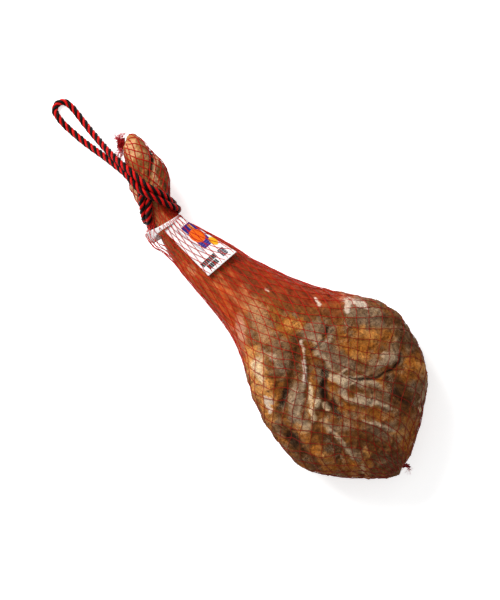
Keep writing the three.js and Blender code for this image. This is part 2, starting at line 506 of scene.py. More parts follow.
class GeometryGraph(Graph):
    """A Geometry Nodes tree with named inputs, run once on an object."""

    KINDS = {
        "geometry": "NodeSocketGeometry",
        "number": "NodeSocketFloat",
        "count": "NodeSocketInt",
        "material": "NodeSocketMaterial",
    }

    def __init__(self, name: str, **inputs: Sequence[str]) -> None:
        """Starts a tree.

        Args:
            name: the tree's name.
            inputs: the names of its inputs, under their kind.
        """
        super().__init__(bpy.data.node_groups.new(name, "GeometryNodeTree"))
        face = self.tree.interface
        face.new_socket("Geometry", in_out="INPUT", socket_type=self.KINDS["geometry"])
        for kind, labels in inputs.items():
            for label in labels:
                face.new_socket(label, in_out="INPUT", socket_type=self.KINDS[kind])
        face.new_socket("Geometry", in_out="OUTPUT", socket_type=self.KINDS["geometry"])
        self.given = self.node("NodeGroupInput").outputs

    def math(self, operation: str, first: Any, second: Any = 0.0) -> NodeSocket:
        """A Math node's result."""
        return self.node("ShaderNodeMath", {"operation": operation}, {0: first, 1: second}).outputs[0]

    def vector(self, operation: str, first: Any, second: Any = None) -> NodeSocket:
        """A Vector Math node's result."""
        made = self.node("ShaderNodeVectorMath", {"operation": operation}, {0: first})
        if second is not None:
            self.feed(made.inputs["Scale" if operation == "SCALE" else 1], second)
        return made.outputs["Vector"]

    def store(self, geometry: Any, name: str, kind: str, value: Any) -> NodeSocket:
        """The geometry with a value stored at each point.

        Args:
            geometry: what the points belong to.
            name: the name that a finish reads.
            kind: the value's data type.
            value: the value at each point.

        Returns:
            The geometry that carries it.
        """
        inputs = {"Geometry": geometry, "Name": name, "Value": value}
        settings = {"data_type": kind, "domain": "POINT"}
        return self.node("GeometryNodeStoreNamedAttribute", settings, inputs).outputs["Geometry"]

    def circle(self, radius: Any) -> NodeSocket:
        """A thread's section, with the tree's number of sides."""
        inputs = {"Resolution": self.given["Sides"], "Radius": radius}
        return self.node("GeometryNodeCurvePrimitiveCircle", {"mode": "RADIUS"}, inputs).outputs["Curve"]

    def tube(self, curve: Any, section: Any) -> NodeSocket:
        """A section swept along curves, closed at its ends."""
        inputs = {"Curve": curve, "Profile Curve": section, "Fill Caps": True}
        return self.node("GeometryNodeCurveToMesh", None, inputs).outputs["Mesh"]

    def shifted(self, geometry: Any, offset: Any) -> NodeSocket:
        """The geometry with each point moved."""
        inputs = {"Geometry": geometry, "Offset": offset}
        return self.node("GeometryNodeSetPosition", None, inputs).outputs["Geometry"]

    def dyed(self, geometry: Any, material: Any) -> NodeSocket:
        """The geometry in one material."""
        inputs = {"Geometry": geometry, "Material": material}
        return self.node("GeometryNodeSetMaterial", None, inputs).outputs["Geometry"]

    def chance(self, least: Sequence[float], most: Sequence[float], seed: Any) -> NodeSocket:
        """A random vector at each point."""
        inputs = {"Min": least, "Max": most, "Seed": seed}
        return self.node("FunctionNodeRandomValue", {"data_type": "FLOAT_VECTOR"}, inputs).outputs["Value"]

    def strewn(self, points: Any, shape: Any, turn: Any, size: Any) -> NodeSocket:
        """A shape at each point, turned and sized."""
        inputs = {"Points": points, "Instance": shape, "Rotation": turn, "Scale": size}
        return self.node("GeometryNodeInstanceOnPoints", None, inputs).outputs["Instances"]

    def end(self, geometry: Any, material: Any = None) -> None:
        """Ends the tree in Realize Instances and, where one is given, Set Material."""
        real = self.node("GeometryNodeRealizeInstances", None, {"Geometry": geometry}).outputs[0]
        if material is not None:
            real = self.dyed(real, material)
        self.node("NodeGroupOutput", None, {"Geometry": real})

    def run(self, made: Object, values: dict[str, Any]) -> Object:
        """Runs the tree on an object.

        Args:
            made: the object, which is used up.
            values: a value for each named input.

        Returns:
            A plain mesh object of the same name.
        """
        modifier = made.modifiers.new(self.tree.name, "NODES")
        modifier.node_group = self.tree
        for item in self.tree.interface.items_tree:
            if item.in_out == "INPUT" and item.name in values:
                modifier[item.identifier] = values[item.name]
        return settle(made)


# ---- the hanging cord ----

STRANDS = 4
STRAND_SHARES = (0.92, 1.09)  # how thick the first and second strands are, as shares of the radius
CORD_BIGHT = (94.8, -29.2, 88.6)
CORD_PAIR = (  # middle of the two strands: x, y, z, the degrees it faces round the shank, half gap
    (99, -33, 88, 90, 5.3),
    (110, -43, 85, 100, 5.3),
    (121, -52.5, 78, 132, 5.3),
    (130, -59, 69, 152, 5.3),
    (135, -62.4, 54, 180, 5.3),
    (137, -61.8, 40, 204, 5.3),
    (139, -55, 29, 232, 5.3),
    (141, -38, 22, 270, 5.3),
    (143.5, -20, 28, 314, 5.3),
    (144, -12, 47, 350, 5.3),
    (141.5, -11.5, 65, 380, 5.3),
    (133.5, -15, 79.5, 408, 5.3),
    (120, -19.5, 89.5, 428, 5.3),
    (107, -25.5, 97.5, 445, 5.3),
    (92, -31, 100, 450, 5.3),
    (74, -32.6, 96, 476, 5.3),
    (52, -34.2, 84, 497, 5.3),
    (28, -37.6, 64.5, 488, 5.3),
    (5.5, -40.4, 46.5, 470, 5.9),
    (-14.5, -42.9, 32, 458, 7.7),
    (-35.5, -45.1, 19.5, 452, 9.9),
    (-56.3, -46.4, 11, 450, 11.8),
    (-77, -47.2, 7, 450, 13.6),
    (-92, -47, 5.5, 450, 13.4),
    (-103.5, -47.2, 5.5, 450, 10.2),
)
CORD_TIP = (-108.5, -47.5, 5.5)
CORD_ENDS_AT = 7  # the row of CORD_PAIR where the cord's two ends meet


@dataclass
class HangingCord:
    """A sling of four-stranded cord, doubled, hitched round the shank, with its loop on the floor."""

    diameter: float = 10.5
    length: float = 960.0
    pitch: float = 30.5
    strand_radius: float = 2.38
    strand_offset: float = 3.1
    step: float = 1.5
    sides: int = 10
    splice_radius: float = 5.5
    splice_turns: int = 9
    splice_spacing: float = 1.25
    splice_thread: float = 0.62
    splice_sides: int = 6
    span_points: int = 14  # between each two of the route's corners
    turn_points: int = 20  # in each turn of the splice
    route: Points = field(init=False)
    cord: Object = field(init=False)
    splice: Object = field(init=False)

    def build(self, finish: "CordFinish") -> None:
        """Lays the cord along its route and binds its two ends together under the shank.

        Args:
            finish: what its strands are made of.
        """
        self.route = smooth_route(self._corners(), self.span_points)
        first = finish.material("cord_red", finish.red)
        second = finish.material("cord_black", finish.black)
        graph = rope_graph("hanging_cord_lay")
        values = {
            "Step": self.step * MM,
            "Pitch": self.pitch * MM,
            "Offset": self.strand_offset * MM,
            "Radius": self.strand_radius * MM,
            "Sides": self.sides,
            "First": first,
            "Second": second,
        }
        self.cord = graph.run(curve_object("cord_sling", [self.route]), values)
        binding = thread_graph("cord_splice_thread")
        values = {"Radius": self.splice_thread * MM, "Sides": self.splice_sides, "Material": second}
        self.splice = binding.run(curve_object("cord_splice", [self._binding()]), values)

    def _corners(self) -> Points:
        """The route's points: from under the shank, round the loop, and back to where it began."""
        rows = np.array(CORD_PAIR, float)
        middles = rows[:, :3]
        turn = np.radians(rows[:, 3])
        outside = np.stack([np.zeros_like(turn), np.cos(turn), np.sin(turn)], axis=1)
        ahead = middles[np.minimum(np.arange(len(rows)) + 1, len(rows) - 1)]
        behind = middles[np.maximum(np.arange(len(rows)) - 1, 0)]
        across = np.cross(outside, ahead - behind)
        across /= np.linalg.norm(across, axis=1)[:, None]
        near = middles + across * rows[:, 4:]
        far = middles - across * rows[:, 4:]
        cut = CORD_ENDS_AT
        return np.concatenate(
            [near[cut:], [CORD_TIP], far[::-1], [CORD_BIGHT], near[:cut], near[cut : cut + 1]]
        )

    def _binding(self) -> Points:
        """A close spiral of thread round the place where the cord's ends meet."""
        middle = self.route[0]
        along = self.route[3] - self.route[-4]
        along /= np.linalg.norm(along)
        side = np.cross(along, (0, 0, 1))
        side /= np.linalg.norm(side)
        lift = np.cross(side, along)
        turn = np.linspace(0, 2 * np.pi * self.splice_turns, self.turn_points * self.splice_turns)
        travel = (turn / (2 * np.pi) - self.splice_turns / 2) * self.splice_spacing
        rim = np.cos(turn)[:, None] * side + np.sin(turn)[:, None] * lift
        return middle + travel[:, None] * along + rim * self.splice_radius

    def dress(self) -> None:
        """Sets the cord and its splice on the body in place of the CAD cord."""
        for made in (self.cord, self.splice):
            finish_piece(made, "cord", ["hanging_cord"])


def smooth_route(corners: Points, per_span: int) -> Points:
    """A centripetal Catmull-Rom curve through points.

    Args:
        corners: the points, in order.
        per_span: how many steps there are between each two.

    Returns:
        The curve's points.
    """
    before = 2 * corners[0] - corners[1]
    after = 2 * corners[-1] - corners[-2]
    padded = np.concatenate([[before], corners, [after]])
    route = []
    for p0, p1, p2, p3 in zip(padded, padded[1:], padded[2:], padded[3:]):
        gaps = [max(np.linalg.norm(b - a) ** 0.5, 1e-6) for a, b in ((p0, p1), (p1, p2), (p2, p3))]
        start = ((p1 - p0) / gaps[0] - (p2 - p0) / (gaps[0] + gaps[1]) + (p2 - p1) / gaps[1]) * gaps[1]
        stop = ((p2 - p1) / gaps[1] - (p3 - p1) / (gaps[1] + gaps[2]) + (p3 - p2) / gaps[2]) * gaps[1]
        for t in np.arange(per_span) / per_span:
            cubic = 2 * p1 - 2 * p2 + start + stop
            square = -3 * p1 + 3 * p2 - 2 * start - stop
            route.append(p1 + start * t + square * t**2 + cubic * t**3)
    route.append(corners[-1])
    return np.array(route)


def rope_graph(name: str) -> GeometryGraph:
    """Four round strands twisted together along a curve, alternately of two materials.

    Args:
        name: the tree's name.

    Returns:
        The tree, ready to run.
    """
    sizes = ("Step", "Pitch", "Offset", "Radius")
    g = GeometryGraph(name, number=sizes, count=("Sides",), material=("First", "Second"))
    inputs = {"Curve": g.given["Geometry"], "Length": g.given["Step"]}
    curve = g.node("GeometryNodeResampleCurve", {"mode": "LENGTH"}, inputs).outputs["Curve"]
    length = g.node("GeometryNodeSplineParameter").outputs["Length"]
    marked = g.store(curve, "along", "FLOAT", length)
    turned = g.math("MULTIPLY", g.math("DIVIDE", length, g.given["Pitch"]), 2 * math.pi)
    normal = g.node("GeometryNodeInputNormal").outputs["Normal"]
    side = g.vector("CROSS_PRODUCT", g.node("GeometryNodeInputTangent").outputs["Tangent"], normal)
    place = g.node("GeometryNodeInputPosition").outputs["Position"]
    sections = []
    for share in STRAND_SHARES:
        circle = g.circle(g.math("MULTIPLY", g.given["Radius"], share))
        sections.append(g.store(circle, "rim", "FLOAT_VECTOR", place))
    join = g.node("GeometryNodeJoinGeometry")
    for strand in range(STRANDS):
        angle = g.math("ADD", turned, strand * 2 * math.pi / STRANDS)
        one = g.vector("SCALE", normal, g.math("COSINE", angle))
        two = g.vector("SCALE", side, g.math("SINE", angle))
        offset = g.vector("SCALE", g.vector("ADD", one, two), g.given["Offset"])
        tube = g.tube(g.shifted(marked, offset), sections[strand % 2])
        dyed = g.dyed(tube, g.given["Second" if strand % 2 else "First"])
        g.tree.links.new(dyed, join.inputs["Geometry"])
    g.end(join.outputs["Geometry"])
    return g


@dataclass(frozen=True)
class CordFinish:
    """Glossy twisted filaments, dyed red or black, with painted shade between them and painted highlight on
    their crowns.
    """

    # Each dye is its colour, a darker one for painted shade between the filaments and a lighter one for
    # painted highlight on their crowns.
    red: tuple[Colour, Colour, Colour] = (shown(208, 18, 16), shown(126, 5, 7), shown(246, 58, 44))
    black: tuple[Colour, Colour, Colour] = (shown(15, 8, 5), shown(5, 2, 1), shown(52, 34, 26))
    wind: float = 420.0  # radians that the filaments turn in each metre of cord
    drift: float = 0.05  # how slowly they change along the cord

    def material(self, name: str, dye: tuple[Colour, Colour, Colour]) -> Material:
        """Filaments that wind round the strand.

        Args:
            name: the material's name.
            dye: their colour, then a darker one painted as shade between them and a lighter one painted as
                highlight on their crowns.

        Returns:
            The strand's material.
        """
        g = ShaderGraph(name)
        along = g.attribute("along")
        rim = g.node("ShaderNodeAttribute", {"attribute_name": "rim"}).outputs["Vector"]
        inputs = {"Vector": rim, "Angle": along * self.wind}
        wound = g.node("ShaderNodeVectorRotate", {"rotation_type": "Z_AXIS"}, inputs).outputs["Vector"]
        lift = g.node("ShaderNodeCombineXYZ", None, {"Z": along * self.drift}).outputs["Vector"]
        thread = g.node("ShaderNodeVectorMath", {"operation": "ADD"}, {0: wound, 1: lift}).outputs["Vector"]
        filaments = g.noise(2600, 2, 0.6, at=thread)
        bundles = g.noise(900, 2, 0.5, at=thread)
        wear_and_sheen = g.noise(160, 3, 0.6)
        # Painted shade between the filaments, in the darker tone.
        colour = g.mix(dye[0], dye[1], (filaments * 0.6 + bundles * 0.4).above(0.5, 0.64))
        # Painted highlight on the filaments' crowns, in the lighter tone, in patches set by a coarse noise
        # that also varies the roughness.
        colour = g.mix(colour, dye[2], (1 - filaments).above(0.52, 0.68) * wear_and_sheen.above(0.35, 0.7) * 0.8)
        rough = 0.44 + (wear_and_sheen - 0.5) * 0.3
        return g.shade({
            "Base Color": colour,
            "Roughness": rough.clamped(),
            "Normal": g.bump(filaments * 0.5 + bundles, 0.5),
            "Specular IOR Level": 0.07,
        })


# ---- the ham ----


class Relief(Enum):
    """How a stroke on the ham's upper face changes the surface beside its line."""

    RIDGE = "a rounded fold"
    GROOVE = "a narrow valley"
    LAP = "an edge that lies over what is on its right-hand side"


class Tone(Enum):
    """The rind's colours, as they show under the studio's light."""

    RUST = (150, 47, 14)
    EMBER = (189, 75, 28)
    ROSE = (212, 140, 116)
    TAN = (210, 150, 100)
    HIDE = (186, 123, 66)
    BUFF = (236, 182, 136)
    AMBER = (184, 108, 35)
    HONEY = (230, 158, 82)
    CREAM = (248, 218, 176)
    SMOKE = (148, 120, 94)
    ASH = (202, 174, 142)
    BROWN = (124, 75, 32)
    UMBER = (94, 55, 22)
    # laid as painted shade in crevices and creases, and on the heel lobe's shaded side
    PITCH = (40, 25, 13)
    CHALK = (248, 228, 216)


Plan = Sequence[Pair]


def beside(line: Plan, plan: Points) -> tuple[Points, Points, float]:
    """Where points lie beside a line that is drawn in plan.

    Args:
        line: the line's corners.
        plan: x and y of each point.

    Returns:
        The distance from the line, positive on its left, how far along the line that is, and the
        line's length.
    """
    corners = np.asarray(line, float)
    steps = np.diff(corners, axis=0)
    lengths = np.hypot(*steps.T)
    before = np.concatenate([[0], np.cumsum(lengths)[:-1]])
    best = np.full(len(plan), 1e9)
    along = np.zeros(len(plan))
    side = np.ones(len(plan))
    for start, step, length, gone in zip(corners, steps, lengths, before):
        offset = plan - start
        share = np.clip(offset @ step / length**2, 0, 1)
        gap = offset - share[:, None] * step
        distance = np.hypot(gap[:, 0], gap[:, 1])
        closer = distance < best
        best = np.where(closer, distance, best)
        along = np.where(closer, gone + share * length, along)
        cross = step[0] * offset[:, 1] - step[1] * offset[:, 0]
        side = np.where(closer, np.sign(cross), side)
    return best * side, along, lengths.sum()


@dataclass(frozen=True)
class Stroke:
    """A fold or furrow on the ham's upper face, drawn in plan."""

    relief: Relief
    line: Plan
    width: float
    height: float

    def rise(self, plan: Points) -> Points:
        """How far the stroke lifts the surface.

        Args:
            plan: x and y of each point.

        Returns:
            The lift at each point in millimetres.
        """
        distance, along, total = beside(self.line, plan)
        fade = 0.3 * total
        reach = 0.2 + 0.8 * smoothstep(0, fade, along) * smoothstep(0, fade, total - along)
        return self._profile(distance) * reach * self.height

    def _profile(self, distance: Points) -> Points:
        """The relief across the line.

        Args:
            distance: how far each point is from the line, positive on its left.

        Returns:
            The relief at each point, as a share of the stroke's height.
        """
        near = np.abs(distance) / self.width
        if self.relief is Relief.RIDGE:
            return np.exp(-(near**2) * 1.6)
        if self.relief is Relief.GROOVE:
            return -np.exp(-near * 1.9)
        raised = smoothstep(-0.12, 0.05, distance / self.width)
        return raised * np.exp(-near * 0.9) - 0.35 * (1 - raised) * np.exp(-near * 3)


@dataclass(frozen=True)
class Mark:
    """A stain, a painted shade or a painted highlight on the ham's upper face: a soft ragged band of one
    tone along a line in plan.
    """

    tone: Tone
    line: Plan
    width: float
    amount: float = 0.8

    def cover(self, plan: Points, ragged: Points) -> Points:
        """How fully the mark covers each point, with noise from -1 to 1 that breaks its edge."""
        near = 1 - np.abs(beside(self.line, plan)[0]) / self.width
        return self.amount * smoothstep(-0.15, 0.5, near + 0.5 * ragged)


def strokes(relief: Relief, *rows: tuple[float | Pair, ...]) -> tuple[Stroke, ...]:
    """Strokes of one kind from rows of width, height and the line's corners."""
    return tuple(Stroke(relief, line, width, height) for width, height, *line in rows)


def marks(tone: Tone, *rows: tuple[float | Pair, ...]) -> tuple[Mark, ...]:
    """Marks of one tone from rows of width, amount and the line's corners."""
    return tuple(Mark(tone, line, width, amount) for width, amount, *line in rows)


STROKES = (
    *strokes(
        Relief.LAP,
        (13, 7, (470, 78), (460, 64), (446, 46), (453, 32), (455, 17), (453, 2)),
        (12, 5, (514, -20), (510, -8), (522, -4), (540, -10), (556, -6), (572, 8)),
    ),
    *strokes(
        Relief.RIDGE,
        (6, 5.5, (430, 0), (452, -11), (466, -22), (480, -35), (490, -44)),
        (6, 4.5, (478, -20), (500, -34), (520, -46), (536, -64)),
        (14, 6, (478, -46), (498, -66), (524, -90)), (8, 5, (504, -2), (522, 12), (544, 29)),
        (6, 4.5, (532, -3), (546, -7), (560, 1), (577, 18)), (6, 3.5, (552, 8), (574, 22)),
        (5, 4, (574, 20), (602, 37)), (5, 3, (546, 37), (562, 48)),
        (12, 4.5, (530, 60), (549, 98)), (4, 3, (588, -8), (612, 6), (634, 21)),
        (5, 3.5, (564, -56), (596, -54), (626, -59)), (13, 3.5, (568, -93), (610, -90)),
        (3.4, 2.6, (468, 10), (498, 8)), (3.4, 3, (510, 0), (512, 27)),
        (9, 3, (566, 92), (584, 112), (600, 110)), (10, 3.2, (420, 30), (436, 36), (444, 22)),
        (9, 3, (416, -46), (446, -54)), (10, 3.5, (470, 30), (490, 44), (512, 50)),
        (9, 3, (474, 66), (492, 86), (510, 96)), (8, 3, (620, -36), (644, -48), (664, -46)),
        (5, 4, (64, 17), (76, 6), (88, -4), (98, -13)),
    ),
    *strokes(
        Relief.GROOVE,
        (10, 7, (420, 4), (436, -14), (456, -38), (474, -62), (486, -84), (498, -108)),
        (5, 4.5, (462, -12), (488, -38), (510, -60), (526, -82)),
        (10, 8, (482, 2), (498, -10), (514, -26), (536, -34), (560, -32)),
        (4.5, 5, (522, 18), (537, 30), (546, 42), (554, 60), (559, 78), (556, 96), (546, 108)),
        (14, 5.5, (566, 64), (604, 62), (634, 74)), (7, 4, (582, 46), (614, 50)),
        (9, 4.5, (558, -69), (618, -70)), (9, 4.5, (506, -106), (556, -112), (596, -113)),
        (5, 2.5, (398, -56), (418, -68), (440, -75), (462, -73), (476, -92)),
        (6, 3, (590, 12), (606, 4), (624, -4)), (7, 3.2, (640, -30), (664, -16), (684, -14)),
        (6, 3, (462, 46), (470, 62), (466, 78)), (5, 2.6, (512, 34), (526, 44), (534, 58)),
        (6, 2.6, (600, -30), (624, -22), (640, -6)),
        (8, 2.2, (352, 4), (378, 12), (402, 30), (424, 48)),
        (8, 2.2, (374, -18), (402, -30), (420, -60)),
        (4.5, 9, (50, 20), (58, 13), (66, 7), (75, 0), (84, -9), (95, -21)),
    ),
)

# Stains and colour patches of the skin, with painted shade in its grooves and crevices and painted highlight
# on some crests and lit faces.
MARKS = (
    *marks(
        Tone.TAN,
        (15, 0.75, (346, -20), (372, -28), (394, -38)),
        (12, 0.5, (122, -46), (140, -44), (160, -46)), (9, 0.3, (250, -30), (300, -36), (336, -34)),
        (13, 0.5, (318, -18), (350, -18)),
    ),
    *marks(
        Tone.ROSE,
        (9, 0.4, (350, -58), (372, -70), (388, -80)), (10, 0.6, (428, 92), (448, 106)),
    ),
    *marks(
        Tone.AMBER,
        (22, 0.8, (478, 50), (500, 78), (508, 100)), (14, 0.7, (488, 50), (520, 62)),
        (14, 0.9, (574, 106), (594, 112)), (8, 0.85, (572, 98), (582, 84)),
        (7, 0.85, (558, 52), (572, 54)), (14, 0.85, (400, -10), (408, 14)),
        (12, 0.5, (378, -6), (396, 4)), (9, 0.85, (450, -84), (470, -84), (482, -100)),
        (6, 0.7, (470, -114), (500, -119), (534, -126)), (12, 0.9, (638, 20), (652, 34), (666, 18)),
        (9, 0.7, (636, 42), (650, 50), (658, 62)), (9, 0.75, (640, -44), (656, -57)),
        (9, 0.8, (530, -90), (554, -95)), (14, 0.9, (578, -95), (608, -92)),
        (9, 0.7, (634, -72), (648, -79)), (7, 0.6, (586, -127), (606, -120)),
    ),
    *marks(
        Tone.SMOKE,
        (17, 0.6, (418, -36), (450, -54)), (17, 0.8, (428, 10), (440, 38)),
        (15, 0.75, (466, 18), (502, 26)), (17, 0.75, (454, 98), (492, 114)),
        (9, 0.5, (536, 104), (528, 120)), (13, 0.8, (532, 64), (549, 98)),
        (15, 0.9, (482, -50), (500, -70), (518, -86)), (16, 0.6, (600, -8), (622, 10), (640, 24)),
        (10, 0.6, (600, 84), (614, 97)), (9, 0.6, (500, -108), (518, -119)),
    ),
    *marks(
        Tone.UMBER,
        # Painted shade: the umber marks that run along grooves of STROKES darken them; the others are dark
        # patches of the rind.
        (9, 0.85, (424, -2), (446, -26), (468, -54), (482, -74), (496, -104)),
        (10, 0.85, (498, -4), (516, -28), (540, -44)), (13, 0.9, (570, 66), (604, 64), (630, 75)),
        (7, 0.7, (584, 46), (614, 49)), (18, 0.45, (618, -30), (660, -20), (686, -18)),
        (9, 0.6, (652, 2), (670, -6)), (9, 0.85, (560, -69), (590, -72), (618, -70)),
        (10, 0.75, (516, -112), (556, -113), (594, -112)), (13, 0.7, (498, 128), (552, 128)),
        (9, 0.45, (298, 3), (326, -3)), (8, 0.5, (640, 86), (664, 56)),
    ),
    *marks(
        Tone.BROWN,
        # The thin brown mark along the groove from x 466 to 512 is painted shade in it, and the heel lobe's
        # darker right part, from x 84 to 124, is partly painted shade.
        (13, 0.5, (340, 12), (372, 26), (402, 36)), (4, 0.8, (466, -16), (490, -40), (512, -62)),
        (9, 0.6, (48, -4), (62, -16)), (13, 0.9, (84, 9), (104, 4), (124, -2)),
        (7, 0.5, (32, 12), (48, 11)), (10, 0.5, (170, -60), (210, -62)),
    ),
    *marks(
        Tone.AMBER,
        (9, 0.85, (508, -4), (526, -15)), (10, 0.9, (577, 13), (598, 17), (608, 25)),
        (10, 0.7, (558, -10), (582, -2)), (6, 0.8, (478, -18), (500, -32), (516, -48), (530, -64)),
        (7, 0.6, (544, -50), (560, -64)), (10, 0.65, (614, -66), (642, -66)),
    ),
    *marks(
        Tone.HONEY,
        (18, 0.95, (410, -76), (440, -92), (464, -98)), (13, 0.8, (398, -64), (420, -82)),
        (8, 0.65, (484, 84), (502, 88)), (7, 0.6, (500, 50), (516, 54)),
        (7, 0.6, (578, 114), (592, 112)), (8, 0.7, (402, 0), (410, 11)),
        (6, 0.65, (636, 19), (645, 27)), (5, 0.8, (626, -34), (636, -36)),
        (6, 0.6, (528, -88), (542, -91)), (9, 0.6, (478, -107), (494, -113)),
    ),
    *marks(
        Tone.ASH,
        # Ash on the ridges' crests, on facets that face the key lamp and on the fold's lip from x 458 to 462
        # is grey mould and partly painted highlight.
        (7, 0.65, (416, -51), (426, -50)), (7, 0.55, (436, -54), (448, -52)),
        (7, 0.55, (438, 12), (447, 25)), (6, 0.65, (532, 83), (547, 93)),
        (6, 0.55, (539, 69), (547, 84)), (7, 0.6, (484, -60), (498, -74)),
        (8, 0.55, (529, -71), (541, -85)), (9, 0.95, (504, -1), (522, 13), (542, 28)),
        (6, 0.95, (532, -2), (546, -6), (560, 2), (576, 17)), (7, 0.9, (554, 9), (573, 21)),
        (3.4, 0.95, (574, 21), (602, 37)), (4.5, 0.75, (546, 37), (562, 47)),
        (2.8, 0.9, (510, 2), (512, 26)), (2.8, 0.75, (468, 10), (498, 8)),
        (3, 0.85, (588, -8), (612, 6), (634, 20)), (3.4, 0.8, (564, -56), (596, -54), (624, -58)),
        (7, 0.65, (550, -54), (563, -57)), (9, 0.55, (516, -78), (534, -81)),
        (4, 0.55, (526, -16), (546, -18)), (4.5, 0.85, (458, 38), (461, 20), (462, 4)),
        (3.6, 0.8, (486, -42), (500, -56), (514, -74)), (3.4, 0.75, (622, 89), (625, 77)),
    ),
    *marks(
        Tone.CREAM,
        (9, 0.85, (412, -73), (434, -86)), (4.4, 0.6, (518, 5), (530, 13)),
        # These two cream lines run along a ridge's crest and are partly painted highlight.
        (3.8, 0.85, (496, -35), (509, -46)),
        (2.6, 0.7, (490, -32), (512, -46), (524, -57), (538, -68)),
        (5.4, 0.95, (517, -42), (525, -47)), (5.2, 0.85, (525, -56), (535, -62)),
        (4, 0.85, (529, -37), (539, -39)), (4, 0.65, (645, -56), (653, -60)),
        (3.2, 0.8, (631, 72), (639, 70)),
    ),
    *marks(
        Tone.PITCH,
        # Painted shade: near-black in the grooves and crevices of STROKES, and partly on the heel lobe's
        # right side from x 104 to 126.
        (6, 0.75, (476, -70), (490, -90)), (8, 0.9, (490, -3), (504, -18), (514, -27)),
        (7, 0.5, (588, 60), (608, 60)), (6, 0.65, (532, -110), (550, -112)),
        (6.5, 0.75, (536, -25), (558, -32)), (2.4, 0.8, (442, 43), (451, 33), (454, 18), (454, 3)),
        (1.9, 0.7, (524, 20), (537, 30), (546, 42), (554, 60), (559, 78), (556, 96), (548, 106)),
        (7, 0.5, (104, -2), (126, -6)),
    ),
    *marks(
        Tone.CHALK,
        (2.2, 0.7, (434, -2), (444, -6), (456, -13)),
        (3.8, 0.95, (460, -17), (470, -26), (482, -37)), (5, 0.85, (433, 95), (444, 84)),
        (4, 0.95, (440, 100), (459, 112)), (2.8, 1.0, (399, 60), (409, 58)),
        (2.4, 0.75, (334, 11), (341, 12)), (4.2, 0.85, (464, -101), (474, -106), (483, -108)),
        (3, 0.8, (471, -95), (475, -98)), (8, 0.3, (344, -52), (366, -66)),
    ),
    *marks(
        Tone.BUFF,
        # Buff on the toe's top and along the heel's ridge, which face the key lamp, is partly painted
        # highlight; the band under the cord is the skin's tan.
        (10, 0.7, (22, 1), (38, -9)), (5, 0.9, (64, 16), (76, 5), (88, -5), (100, -12)),
        (10, 0.75, (64, -44), (102, -55)), (6, 0.5, (232, -56), (244, -60)),
    ),
    # Painted shade in the crease between the toe's two lobes.
    *marks(Tone.PITCH, (3.2, 1.0, (53, 17), (60, 11), (68, 4), (77, -4), (87, -13))),
)


